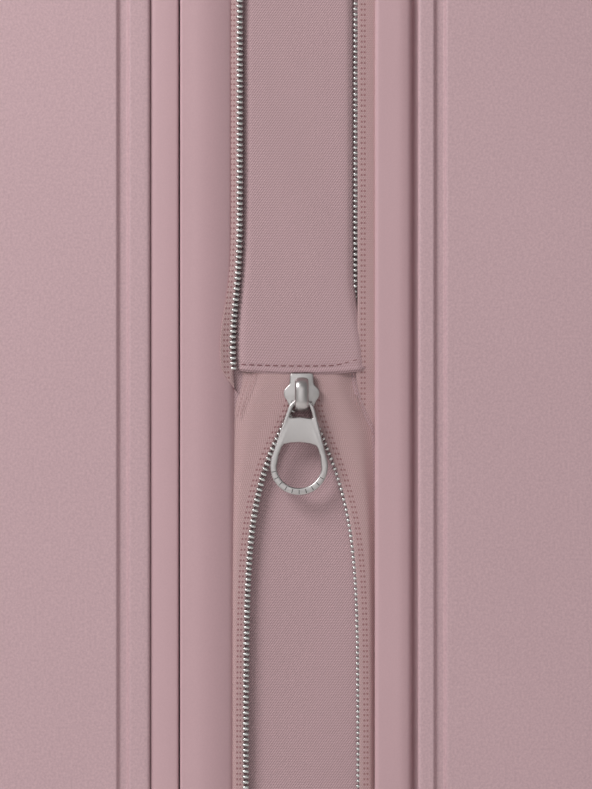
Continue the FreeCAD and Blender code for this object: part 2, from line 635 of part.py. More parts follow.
puller_rod = cylinder("puller_rod", "puller_thickness / 2", "puller_loop",
                      (PULLER_X + " + puller_thickness / 2",
                       SLIDER_Y + " - puller_loop / 2", PIVOT_Z), axis="y")
loop = cut("puller_eye", puller_slab("puller_loop", "puller_loop", "puller_loop_drop + 1",
                                     "puller_drop"),
           puller_slab("puller_loop_space", "puller_loop_hole", "puller_loop_drop",
                       "puller_drop - 2"))
plate_top = round_edges("puller_plate_soft",
                        puller_slab("puller_plate", "puller_neck", "puller_ring_drop",
                                    "puller_loop_drop"), "2", along(Vector(1, 0, 0)))
ring = cylinder("puller_ring", "puller_ring", "puller_thickness",
                (PULLER_X, SLIDER_Y, Z_MIDDLE + " - puller_ring_drop"), axis="x")
ring_space = cylinder("puller_ring_space", "puller_ring_hole", "4 * puller_thickness",
                      (PULLER_X + " - puller_thickness", SLIDER_Y,
                       Z_MIDDLE + " - puller_ring_drop"), axis="x")
flat = cut("puller_flat", fuse("puller_whole", plate_top, ring), ring_space)
node("zip_puller", fuse("zip_puller", puller_rod, loop, flat))


# ---------------------------------------------------------------- carry handles
def carry_handle(label, surface, pivot, side):
    """A rigid bail handle folded flat on the rear shell, and its two lugs.

    surface and pivot are the height of the wall and the hinge line along Y; side is
    'top' for a handle on the top wall and 'flank' for one on the -X wall."""
    sign = "+" if side == "top" else "-"
    middle = "(%s %s (handle_lift + handle_thickness / 2))" % (surface, sign)

    def placed(name, along_handle, across, thick, a, y, h, make=None):
        if side == "top":
            return middle_box(name, (along_handle, across, thick), (a, y, h))
        return middle_box(name, (thick, across, along_handle), (h, y, Z_MIDDLE + " + " + a))

    def rod(name, radius, length, a):
        if side == "top":
            return cylinder(name, radius, length, (a, pivot, middle), axis="x")
        return cylinder(name, radius, length, (middle, pivot, Z_MIDDLE + " + " + a))

    bar = placed(label + "_bar", "handle_span + handle_width", "handle_width", "handle_thickness",
                 "0", pivot + " - handle_arm", middle)
    axis = Vector(1, 0, 0) if side == "top" else Vector(0, 0, 1)
    pieces, bores, lugs = [round_edges(label + "_bar_soft", bar, "3", along(axis))], [], []
    for end in ("-", "+"):
        tag = "low" if end == "-" else "high"
        a = "(%s handle_span / 2)" % end
        arm = placed("%s_arm_%s" % (label, tag), "handle_width - 4", "handle_arm",
                     "handle_thickness - 2", a, pivot + " - handle_arm / 2", middle)
        pieces.append(arm)
        start = "(%s - handle_width / 2 + 2)" % a
        pieces.append(rod("%s_barrel_%s" % (label, tag), "handle_thickness / 2",
                          "handle_width - 4", start))
        bores.append(rod("%s_bore_%s" % (label, tag), "handle_pin_radius + run_gap",
                         "handle_width - 4", start))
        outer = "(%s %s (handle_width / 2 - 2 + body_gap + lug_length / 2))" % (a, end)
        lug_round = rod("%s_lug_%s" % (label, tag), "handle_thickness / 2", "lug_length",
                        "(%s - lug_length / 2)" % outer)
        foot_height = "(handle_lift + handle_thickness / 2)"
        lug_foot = placed("%s_lug_foot_%s" % (label, tag), "lug_length", "handle_thickness",
                          foot_height, outer, pivot, "(%s %s %s / 2)" % (surface, sign, foot_height))
        inner = "(%s - handle_width / 2 + 2)" % a if end == "+" else (
            "(%s - handle_width / 2 + 2 - body_gap - lug_length / 2)" % a)
        pin = rod("%s_pin_%s" % (label, tag), "handle_pin_radius",
                  "handle_width - 4 + body_gap + lug_length / 2", inner)
        lugs.append(fuse("%s_lug_whole_%s" % (label, tag), lug_round, lug_foot, pin))
    node(label, cut(label, fuse(label + "_solid", *pieces), fuse(label + "_bores", *bores)))
    node(label + "_lugs", group(label + "_lugs", *lugs))


HANDLE_Y = "(" + Y_REAR_EDGE + " + handle_from_edge)"
carry_handle("top_handle", Z_TOP, HANDLE_Y, "top")
carry_handle("side_handle", "(-" + X_SIDE + ")", HANDLE_Y, "flank")

# ---------------------------------------------------------------- feet on the hinge side
for label, y in (("lid_feet", Y_LID_EDGE + " - foot_from_edge"),
                 ("rear_feet", Y_REAR_EDGE + " + foot_from_edge")):
    feet = []
    for tag, end in (("low", "-"), ("high", "+")):
        block = middle_box("%s_%s" % (label, tag),
                           ("handle_lift + handle_thickness", "foot_width", "foot_length"),
                           (X_SIDE + " + (handle_lift + handle_thickness) / 2", y,
                            "%s %s (case_height / 2 - foot_from_end)" % (Z_MIDDLE, end)))
        feet.append(round_edges("%s_%s_soft" % (label, tag), block, "5", along(Vector(1, 0, 0))))
    node(label, group(label, *feet))

# ---------------------------------------------------------------- telescopic handle
Z_BEZEL = "(" + Z_TOP + " + bezel_height)"
Z_CUP = "(" + Z_BEZEL + " - cup_depth)"
OPEN_X, OPEN_Y = "(bezel_length - 2 * bezel_border - 2 * cup_wall - 1)", (
    "(bezel_width - 2 * bezel_border - 2 * cup_wall - 1)")
plate = middle_box("bezel_blank", ("bezel_length", "bezel_width", "bezel_height"),
                   ("0", TUBE_Y, Z_TOP + " + bezel_height / 2"))
plate_soft = round_edges("bezel_soft", plate, "8", along(Vector(0, 0, 1)))
cup = box("bezel_cup", (OPEN_X + " + 2 * cup_wall", OPEN_Y + " + 2 * cup_wall",
                        "cup_depth + cup_wall - 0.5"),
          ("-(%s + 2 * cup_wall) / 2" % OPEN_X, "%s - (%s + 2 * cup_wall) / 2" % (TUBE_Y, OPEN_Y),
           Z_CUP + " - cup_wall"))
room = box("bezel_room", (OPEN_X, OPEN_Y, "2 * cup_depth"),
           ("-%s / 2" % OPEN_X, "%s - %s / 2" % (TUBE_Y, OPEN_Y), Z_CUP))


def tube_pair(name, size_x, size_y, low, length):
    """Two boxes of one size, one for each leg of the telescopic handle."""
    return [middle_box("%s_%s" % (name, tag), (size_x, size_y, length),
                       ("%s tube_offset" % sign, TUBE_Y, "(%s) + (%s) / 2" % (low, length)))
            for tag, sign in (("left", "-"), ("right", "+"))]


MID_X, MID_Y = (
    "(tube_%s - 2 * tube_wall - 2 * slide_gap)" % axis for axis in ("x", "y"))
passages = tube_pair("bezel_passage", MID_X + " + 2 * slide_gap", MID_Y + " + 2 * slide_gap",
                     Z_CUP + " - 2 * cup_wall", "4 * cup_wall")
node("trolley_bezel", cut("trolley_bezel", fuse("bezel_whole", plate_soft, cup),
                          fuse("bezel_spaces", room, *passages)))


def telescope(label, size_x, size_y, low, high, blocks=()):
    """Both legs of one stage, as hollow rectangular tubes, and the blocks they stand on."""
    length = "((%s) - (%s))" % (high, low)
    outer = tube_pair(label + "_outside", size_x, size_y, low, length)
    inner = tube_pair(label + "_inside", size_x + " - 2 * tube_wall", size_y + " - 2 * tube_wall",
                      low, length)
    return node(label, group(label, *[
        cut("%s_%d" % (label, k), whole, space)
        for k, (whole, space) in enumerate(zip(outer, inner))], *blocks))


Z_FOOT = "(" + Z_LOW + " + wall + tube_foot)"
foot_blocks = tube_pair("foot_block", "tube_x + 6", "tube_y + 6", Z_LOW + " + wall",
                        "tube_foot")
telescope("trolley_outer_tubes", "tube_x", "tube_y", Z_FOOT, Z_CUP + " - cup_wall", foot_blocks)
telescope("trolley_middle_tubes", MID_X, MID_Y, Z_FOOT + " + tube_step", Z_CUP + " + 2")
INNER_X, INNER_Y = (
    "(%s - 2 * tube_wall - 2 * slide_gap)" % size for size in (MID_X, MID_Y))
Z_GRIP = "(" + Z_BEZEL + " - grip_height)"
telescope("trolley_inner_tubes", INNER_X, INNER_Y, Z_FOOT + " + 2 * tube_step", Z_GRIP)

grip_x, grip_y = OPEN_X + " - 2 * grip_gap", OPEN_Y + " - 2 * 0.6"
grip = middle_box("grip_blank", (grip_x, grip_y, "grip_height"),
                  ("0", TUBE_Y, Z_GRIP + " + grip_height / 2"))
grip_soft = round_edges("grip_soft", grip, "3", along(Vector(0, 0, 1)))
well = middle_box("grip_well", ("button_length + 2 * button_gap", "button_width + 2 * button_gap", "12"),
                  ("0", TUBE_Y, Z_BEZEL))
node("trolley_grip", cut("trolley_grip", grip_soft, well))
node("trolley_button", middle_box("trolley_button", ("button_length", "button_width", "button_height"),
                                  ("0", TUBE_Y, Z_BEZEL + " + button_rise - button_height / 2")))


# ---------------------------------------------------------------- swivel wheels
TURN_LOW = "(2 * wheel_radius + 1)"
HOUSING_LOW = "(" + TURN_LOW + " + turntable_height + swivel_gap)"


def caster(label, sign_x, sign_y, case):
    """One twin wheel caster under a corner; its wheels trail towards the back."""
    x = "(%s (caster_offset))" % sign_x
    y = "(%s (%s + rib_height - caster_from_face))" % (sign_y, Y_BACK)
    wheel_y = "(" + y + " + trail)"
    block = middle_box(label + "_block", ("housing_length", "housing_width", "housing_height"),
                       (x, y, HOUSING_LOW + " + housing_height / 2"))
    block_soft = round_edges(label + "_block_soft", block, "housing_round",
                             along(Vector(0, 0, 1)))
    hole = cylinder(label + "_hole", "stem_radius + run_gap", "stem_length + swivel_gap",
                    (x, y, HOUSING_LOW))
    node(label + "_housing", cut(label + "_housing", cut(label + "_hollow", block_soft, case),
                                 hole))
    table = cylinder(label + "_table", "turntable_radius", "turntable_height", (x, y, TURN_LOW))
    stem = cylinder(label + "_stem", "stem_radius", "turntable_height + swivel_gap + stem_length",
                    (x, y, TURN_LOW))
    web = middle_box(label + "_web", ("web_thickness", "trail + 18", "wheel_radius + 3"),
                     (x, "(%s + %s) / 2" % (y, wheel_y), TURN_LOW + " - (wheel_radius + 3) / 2 + 2"))
    web_foot = cylinder(label + "_web_foot", "8", "web_thickness",
                        (x + " - web_thickness / 2", wheel_y, "wheel_radius"), axis="x")
    bore = cylinder(label + "_web_bore", "axle_radius + run_gap", "2 * web_thickness",
                    (x + " - web_thickness", wheel_y, "wheel_radius"), axis="x")
    node(label + "_fork", cut(label + "_fork", fuse(label + "_fork_whole", table, stem,
                                                    web, web_foot), bore))
    half = "(web_thickness / 2 + web_gap + wheel_width)"
    node(label + "_axle", cylinder(label + "_axle", "axle_radius", "2 * %s + 1" % half,
                                   ("%s - %s - 0.5" % (x, half), wheel_y, "wheel_radius"),
                                   axis="x"))
    hubs, tyres = [], []
    for tag, start in (("left", "%s - %s" % (x, half)),
                       ("right", "%s + web_thickness / 2 + web_gap" % x)):
        def disc(name, radius):
            return cylinder("%s_%s_%s" % (label, name, tag), radius, "wheel_width",
                            (start, wheel_y, "wheel_radius"), axis="x")
        rim_radius = "wheel_radius - tyre_thickness"
        hubs.append(cut("%s_hub_%s" % (label, tag), disc("rim", rim_radius),
                        disc("hub_bore", "axle_radius")))
        tread = round_edges("%s_tread_soft_%s" % (label, tag), disc("tread", "wheel_radius"), "1.5",
                            lambda e: isinstance(e.Curve, Part.Circle))
        tyres.append(cut("%s_tyre_%s" % (label, tag), tread, disc("tyre_bore", rim_radius)))
    node(label + "_hubs", group(label + "_hubs", *hubs))
    node(label + "_tyres", group(label + "_tyres", *tyres))


for tag_y, sign_y, case in (("front", "-", lid_envelope), ("rear", "", rear_envelope)):
    for tag_x, sign_x in (("left", "-"), ("right", "")):
        caster("caster_%s_%s" % (tag_y, tag_x), sign_x, sign_y, case)

# ---------------------------------------------------------------- files
doc.recompute()
os.makedirs("parts", exist_ok=True)
for thing in doc.Objects:
    faults = [s for s in thing.State if s in ("Invalid", "Error")]
    if faults:
        raise RuntimeError("%s is %s" % (thing.Label, faults))
for label, thing in NODES.items():
    shape = thing.Shape
    if shape.isNull() or not shape.isValid():
        raise RuntimeError("%s has no sound shape" % label)
    shape.exportStep(os.path.join("parts", label + ".step"))
print("%d parts written" % len(NODES))
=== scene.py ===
# %% [markdown]
# An expandable hard shell suitcase.  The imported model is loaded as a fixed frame, and every
# visible piece is built around it.  The rest position is the expanded case, closed and
# standing on its wheels, with its lid towards -Y and its gusset zipper's slider on the +X side.

# %% Load the frame
import math
import json

import bmesh
import bpy
import numpy as np
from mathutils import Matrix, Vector

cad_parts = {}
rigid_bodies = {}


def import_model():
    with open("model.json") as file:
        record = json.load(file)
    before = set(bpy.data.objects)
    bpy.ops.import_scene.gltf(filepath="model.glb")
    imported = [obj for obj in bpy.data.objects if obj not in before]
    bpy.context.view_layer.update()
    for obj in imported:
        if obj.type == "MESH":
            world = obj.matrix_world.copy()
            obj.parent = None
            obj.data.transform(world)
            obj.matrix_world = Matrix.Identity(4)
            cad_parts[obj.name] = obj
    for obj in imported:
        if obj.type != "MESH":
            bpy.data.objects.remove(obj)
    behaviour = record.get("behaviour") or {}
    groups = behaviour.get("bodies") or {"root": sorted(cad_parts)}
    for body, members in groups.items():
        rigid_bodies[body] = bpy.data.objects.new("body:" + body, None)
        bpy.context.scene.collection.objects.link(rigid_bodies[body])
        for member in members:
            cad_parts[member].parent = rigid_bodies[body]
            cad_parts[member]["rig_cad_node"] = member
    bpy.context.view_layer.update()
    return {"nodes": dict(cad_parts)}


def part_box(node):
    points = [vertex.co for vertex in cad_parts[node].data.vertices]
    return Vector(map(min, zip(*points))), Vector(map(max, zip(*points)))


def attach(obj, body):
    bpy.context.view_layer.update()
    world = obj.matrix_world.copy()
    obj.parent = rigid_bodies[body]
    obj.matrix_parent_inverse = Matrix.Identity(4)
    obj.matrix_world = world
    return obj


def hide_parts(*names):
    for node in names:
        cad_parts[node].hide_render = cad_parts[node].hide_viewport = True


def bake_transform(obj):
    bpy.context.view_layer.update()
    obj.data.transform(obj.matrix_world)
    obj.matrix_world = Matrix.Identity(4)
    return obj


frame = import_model()
scene = bpy.context.scene

# %% [markdown]
# Every shape on this case follows one outline: a rounded rectangle seen from the front.
# Its size, and where each ring begins along the case, are read from the frame's own parts,
# so nothing has to be fitted by hand.  All lengths below are in millimetres, and are turned
# to metres at the moment a mesh is made.

# %% Sizes read from the frame
MM = 0.001


def extent(node):
    """Lowest and highest corner of a frame node, in millimetres."""
    low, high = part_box(node)
    return np.array(low) / MM, np.array(high) / MM


lid_low, lid_high = extent("lid_shell")
_, lid_rim_high = extent("lid_rim")
mid_low, mid_high = extent("mid_rim")
rear_rim_low, rear_rim_high = extent("rear_rim")
rear_low, rear_high = extent("rear_shell")
_, tape_high = extent("front_zip_tape")

HALF_W = lid_high[0]
Z_LOW, Z_HIGH = lid_low[2], lid_high[2]
HALF_H = (Z_HIGH - Z_LOW) / 2
Z_MID = (Z_HIGH + Z_LOW) / 2
CORNER = 62.0
WALL = 2.6
RIB_HEIGHT = 1.6
RIB_PITCH = 44.0
RIB_HALF = 9.0
RIB_SOFT = 3.0
LIP = 1.2
GROOVE_WIDTH, GROOVE_DEEP = 3.6, 1.5
Y_FACE = lid_low[1] + RIB_HEIGHT
Y_LID = lid_high[1]
Y_SEAM_LID = lid_rim_high[1]
Y_MID, Y_GUSSET = mid_low[1], mid_high[1]
Y_REAR = rear_rim_low[1]
Y_SHELL = rear_low[1]
Y_BACK = rear_high[1] - RIB_HEIGHT
GUSSET_MIDDLE = Y_GUSSET + 26.0
print("case half width", HALF_W, "half height", HALF_H, "gusset from", Y_GUSSET, "to", Y_REAR)

# %% [markdown]
# Two small tools make every mesh.  One turns arrays of points and faces into an object, the
# other turns a grid of points into a surface, closed in either direction where it has to be.
# Working on whole arrays keeps a surface with tens of thousands of points quick to build.

# %% Mesh tools


def mesh_object(name, points, faces, smooth=True):
    """An object from points in millimetres (N, 3) and a list or array of faces."""
    mesh = bpy.data.meshes.new(name)
    faces = faces.tolist() if hasattr(faces, "tolist") else faces
    mesh.from_pydata((np.asarray(points, float) * MM).tolist(), [], faces)
    mesh.polygons.foreach_set("use_smooth", np.full(len(mesh.polygons), smooth))
    mesh.update()
    thing = bpy.data.objects.new(name, mesh)
    scene.collection.objects.link(thing)
    return thing


def grid_faces(rows, columns, wrap_rows=False, wrap_columns=False, first=0):
    """Quads (M, 4) that join neighbours on a grid of rows x columns points."""
    r = np.arange(rows if wrap_rows else rows - 1)
    c = np.arange(columns if wrap_columns else columns - 1)
    r, c = np.meshgrid(r, c, indexing="ij")
    r2, c2 = (r + 1) % rows, (c + 1) % columns
    quads = np.stack([r * columns + c, r * columns + c2, r2 * columns + c2, r2 * columns + c], -1)
    return quads.reshape(-1, 4) + first


def grid_object(name, points, wrap_rows=False, wrap_columns=False, uv=None, flip=False):
    """A surface from a grid of points (rows, columns, 3), with an optional UV per point."""
    rows, columns = points.shape[:2]
    faces = grid_faces(rows, columns, wrap_rows, wrap_columns)
    if flip:
        faces = faces[:, ::-1]
    thing = mesh_object(name, points.reshape(-1, 3), faces)
    if uv is not None:
        layer = thing.data.uv_layers.new(name="UVMap")
        layer.data.foreach_set("uv", uv.reshape(-1, 2)[faces.reshape(-1)].ravel())
    return thing


# %% [markdown]
# A finished mesh can be read back as one array of points, changed, and written again.  That
# is how a drawn curve is stood up on the case's side, and how a plate is leaned.

# %% Reading and moving points


def points_of(mesh):
    """A mesh's points as an array (N, 3), in metres."""
    co = np.empty(len(mesh.vertices) * 3)
    mesh.vertices.foreach_get("co", co)
    return co.reshape(-1, 3)


def corners_of(mesh):
    """The number of the point at every corner of every face, in order."""
    corners = np.empty(len(mesh.loops), int)
    mesh.loops.foreach_get("vertex_index", corners)
    return corners


def set_points(mesh, points):
    """Moves a mesh's points, given in metres."""
    mesh.vertices.foreach_set("co", np.asarray(points).ravel())
    mesh.update()


def smoothstep(x):
    """0 below 0, 1 above 1, and an easy S between."""
    x = np.clip(x, 0, 1)
    return x * x * (3 - 2 * x)


def join(name, things):
    """One object from several."""
    bpy.ops.object.select_all(action="DESELECT")
    for thing in things:
        thing.select_set(True)
    bpy.context.view_layer.objects.active = things[0]
    bpy.ops.object.join()
    things[0].name = name
    return things[0]


print("mesh tools are ready")

# %% [markdown]
# The outline is walked by one number: the distance from the middle of the hinge side,
# downwards, round the bottom, up the latch side, over the top and back.  At each distance
# the outline has a point and an outward direction, and a ring of the case is that point
# moved inwards by an inset and along Y by a depth.

# %% The outline of the case
REFERENCE_INSET = 3.4
ARC = (CORNER - REFERENCE_INSET) * math.pi / 2
FLAT_V = 2 * (HALF_H - CORNER)
FLAT_H = 2 * (HALF_W - CORNER)
AROUND = 2 * FLAT_V + 2 * FLAT_H + 4 * ARC


def outline_at(distance):
    """Outline point (x, z) at inset 0 and outward direction at distances along the case.

    On a straight the point slides along the side.  On a corner it is the corner's centre
    plus its radius times the turning direction."""
    d = np.asarray(distance, float) % AROUND
    marks = np.cumsum([FLAT_V / 2, ARC, FLAT_H, ARC, FLAT_V, ARC, FLAT_H, ARC, FLAT_V / 2])
    span = np.clip(np.searchsorted(marks, d, side="right"), 0, 8)
    before = np.concatenate([[0], marks])[span]
    u = d - before
    cx, cz = HALF_W - CORNER, HALF_H - CORNER
    starts = np.array([(HALF_W, 0), (0, 0), (cx, -HALF_H), (0, 0), (-HALF_W, -cz), (0, 0),
                       (-cx, HALF_H), (0, 0), (HALF_W, cz)], float)
    runs = np.array([(0, -1), (0, 0), (-1, 0), (0, 0), (0, 1), (0, 0), (1, 0), (0, 0), (0, -1)])
    facing = np.array([(1, 0), (0, 0), (0, -1), (0, 0), (-1, 0), (0, 0), (0, 1), (0, 0), (1, 0)],
                      float)
    centres = np.array([(0, 0), (cx, -cz), (0, 0), (-cx, -cz), (0, 0), (-cx, cz), (0, 0),
                        (cx, cz), (0, 0)], float)
    first_turn = np.array([0, 0, 0, -90, 0, -180, 0, -270, 0], float)
    turn = np.radians(first_turn[span]) - u / ARC * math.pi / 2
    way = np.stack([np.cos(turn), np.sin(turn)], -1)
    corner = (span % 2 == 1)[..., None]
    point = np.where(corner, centres[span] + CORNER * way, starts[span] + runs[span] * u[..., None])
    normal = np.where(corner, way, facing[span])
    return point + np.array([0, Z_MID]), normal


def place(distance, inset, y):
    """Points in the row frame at distances along the case, insets and depths (broadcast)."""
    distance, inset, y = np.broadcast_arrays(distance, inset, y)
    point, normal = outline_at(distance)
    flat = point - normal * inset[..., None]
    return np.stack([flat[..., 0], y, flat[..., 1]], -1)


def stations(straight_step=40.0, arc_points=24):
    """Distances round the whole case: few on the straights, many on the corners."""
    marks = np.cumsum([0, FLAT_V / 2, ARC, FLAT_H, ARC, FLAT_V, ARC, FLAT_H, ARC, FLAT_V / 2])
    pieces = []
    for k in range(9):
        count = arc_points if k % 2 else max(2, int((marks[k + 1] - marks[k]) / straight_step))
        pieces.append(np.linspace(marks[k], marks[k + 1], count, endpoint=False))
    return np.concatenate(pieces)


print("once round the case is", round(AROUND), "mm")


def ring(name, section, distance=None):
    """A ring round the case: a closed section of (inset, y) points carried round the outline.

    A section that runs clockwise, seen with y to the right and outwards up, is turned round,
    so that the surface faces outwards."""
    distance = stations() if distance is None else distance
    section = np.asarray(section, float)
    y, out = section[:, 1], -section[:, 0]
    area = np.sum(y * np.roll(out, -1) - np.roll(y, -1) * out) / 2
    section = section if area > 0 else section[::-1]
    points = place(distance[:, None], section[None, :, 0], section[None, :, 1])
    return grid_object(name, points, True, True)


# %% [markdown]
# Materials start from the real thing.  One function turns a hex colour to the linear values
# that Blender works in, and one adds a node, sets its values and links its inputs.

# %% Material tools


def colour(hexa):
    """A linear colour with alpha from an sRGB hex value."""
    raw = np.array([int(hexa[i:i + 2], 16) for i in (1, 3, 5)]) / 255
    linear = np.where(raw <= 0.04045, raw / 12.92, ((raw + 0.055) / 1.055) ** 2.4)
    return (*linear.tolist(), 1.0)


def add(tree, kind, settings=None, **inputs):
    """Adds a node, sets its properties, and links or sets the inputs named with _ for space.

    An input of the form name__2 is the third socket when several share a name."""
    made = tree.nodes.new(kind)
    for key, setting in (settings or {}).items():
        setattr(made, key, setting)
    for key, given in inputs.items():
        if key.startswith("in") and key[2:].isdigit():
            socket = made.inputs[int(key[2:])]
        else:
            socket = made.inputs[key.replace("_", " ")]
        if isinstance(given, bpy.types.NodeSocket):
            tree.links.new(given, socket)
        else:
            socket.default_value = given
    return made


def material(name, base, roughness, metallic=0.0, **shader_values):
    """A new material with one Principled shader, whose plain values are set on its sockets."""
    made = bpy.data.materials.new(name)
    made.use_nodes = True
    shader = made.node_tree.nodes["Principled BSDF"]
    shader.inputs["Base Color"].default_value = colour(base)
    shader.inputs["Roughness"].default_value = roughness
    shader.inputs["Metallic"].default_value = metallic
    for key, setting in shader_values.items():
        shader.inputs[key.replace("_", " ")].default_value = setting
    made.diffuse_color = colour(base)
    return made, made.node_tree, shader


def bump(tree, shader, height, distance_mm, strength=1.0, under=None):
    """Bumps the shader's surface by a height input, as deep as distance_mm."""
    made = add(tree, "ShaderNodeBump", Strength=strength, Distance=distance_mm * MM, Height=height)
    if under is not None:
        tree.links.new(under, made.inputs["Normal"])
    tree.links.new(made.outputs["Normal"], shader.inputs["Normal"])
    return made.outputs["Normal"]


def mix(tree, factor, a, b):
    """A colour mix of a and b, either of them a hex value or a socket."""
    a = colour(a) if isinstance(a, str) else a
    b = colour(b) if isinstance(b, str) else b
    made = add(tree, "ShaderNodeMix", {"data_type": "RGBA"}, in0=factor, in6=a, in7=b)
    return made.outputs[2]


# %% [markdown]
# A piece is finished in three steps: it gets its material, it hides the frame nodes it stands
# for, and it rides on a body, so that it moves with that body's joint.

# %% Finishing a piece


def dress(thing, look, slot_name=None):
    """Gives a piece its only material."""
    thing.data.materials.clear()
    thing.data.materials.append(look)
    slot_name and "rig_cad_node" not in thing
    return thing


def settle(thing, look, slot_name, body, *nodes):
    """Dresses a piece, lets it stand for frame nodes, and makes it ride on a body."""
    dress(thing, look, slot_name)
    if nodes:
        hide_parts(*nodes)
    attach(thing, body)
    return thing


print("material tools are ready")

# %% [markdown]
# The shells are moulded polycarbonate with a fine matt grain, which breaks up the light like
# very fine leather.  Two layers of noise give it: one near 0.5 mm for the grain that can be
# seen, and one of several centimetres that lets the tone wander a little, as paint and
# mouldings do.

# %% Moulded polycarbonate
SHELL_COLOUR = "#b6979c"


def moulded(name, base, grain_mm, grain_depth, roughness, mottling=0.10):
    made, tree, shader = material(name, base, roughness, IOR=1.52)
    place_in = add(tree, "ShaderNodeTexCoord").outputs["Object"]
    grain = add(tree, "ShaderNodeTexNoise", Vector=place_in, Scale=1000 / (2 * grain_mm),
                Detail=2.0, Roughness=0.6)
    wide = add(tree, "ShaderNodeTexNoise", Vector=place_in, Scale=9.0, Detail=2.0)
    shade = add(tree, "ShaderNodeMapRange", Value=grain.outputs["Fac"], From_Min=0.3, From_Max=0.7,
                To_Min=1 - mottling, To_Max=1 + mottling)
    slow = add(tree, "ShaderNodeMapRange", Value=wide.outputs["Fac"], From_Min=0.35, From_Max=0.65,
               To_Min=0.985, To_Max=1.015)
    both = add(tree, "ShaderNodeMath", {"operation": "MULTIPLY"}, in0=shade.outputs[0],
               in1=slow.outputs[0])
    lit = add(tree, "ShaderNodeVectorMath", {"operation": "SCALE"}, in0=colour(base)[:3],
              Scale=both.outputs[0])
    tree.links.new(lit.outputs[0], shader.inputs["Base Color"])
    bump(tree, shader, grain.outputs["Fac"], grain_depth)
    return made


polycarbonate = moulded("polycarbonate_matt_grain", SHELL_COLOUR, 0.42, 0.05, 0.47)
rim_plastic = moulded("polycarbonate_satin_rim", "#b9979c", 0.30, 0.012, 0.42, 0.025)
print("materials for the shell and the rims are ready")


# %% [markdown]
# The shells' shape is stiffened by a soft groove round each side wall and by upright bars on
# each face.  Both are heights worked out from a smooth step, so their edges are as round as a
# moulding's.

# %% Arcs, grooves and bars


def arc_points(centre, radius, start, end, count):
    """Points on an arc, angles in degrees."""
    a = np.radians(np.linspace(start, end, count))
    return np.stack([centre[0] + radius * np.cos(a), centre[1] + radius * np.sin(a)], -1)


def groove(depth, middle, width, deep, soft):
    """A soft-edged groove: 0 outside, deep inside, with S-shaped sides of length soft."""
    inside = smoothstep((width / 2 + soft / 2 - np.abs(depth - middle)) / soft)
    return deep * inside


def rib_height(x, z):
    """Raised upright bars on the face, each with soft sides and round ends.

    It is RIB_HEIGHT inside a capsule of half width RIB_HALF and 0 outside, with an S of
    RIB_SOFT between.  Seven bars stand side by side, and end where the corners begin."""
    reach = HALF_H - CORNER - RIB_HALF
    dx = x - RIB_PITCH * np.clip(np.round(x / RIB_PITCH), -3, 3)
    dz = np.maximum(np.abs(z - Z_MID) - reach, 0)
    return RIB_HEIGHT * smoothstep((RIB_HALF + RIB_SOFT / 2 - np.hypot(dx, dz)) / RIB_SOFT)


# %% [markdown]
# Each half shell is one closed skin: from its open edge along the side wall, over a soft
# groove, round the big edge, and then the flat face with its upright ribs; inside it comes
# back at the wall's thickness.  The face is a grid whose rows end exactly on the rounded
# outline, so it meets the side wall point for point.

# %% One moulded half


def border_of(n_rows, n_cols):
    """Grid places (row, column) once round a grid's border, from its last row and column."""
    return np.concatenate([
        np.stack([np.arange(n_rows - 1, 0, -1), np.full(n_rows - 1, n_cols - 1)], -1),
        np.stack([np.zeros(n_cols - 1, int), np.arange(n_cols - 1, 0, -1)], -1),
        np.stack([np.arange(0, n_rows - 1), np.zeros(n_rows - 1, int)], -1),
        np.stack([np.full(n_cols - 1, n_rows - 1), np.arange(0, n_cols - 1)], -1)])


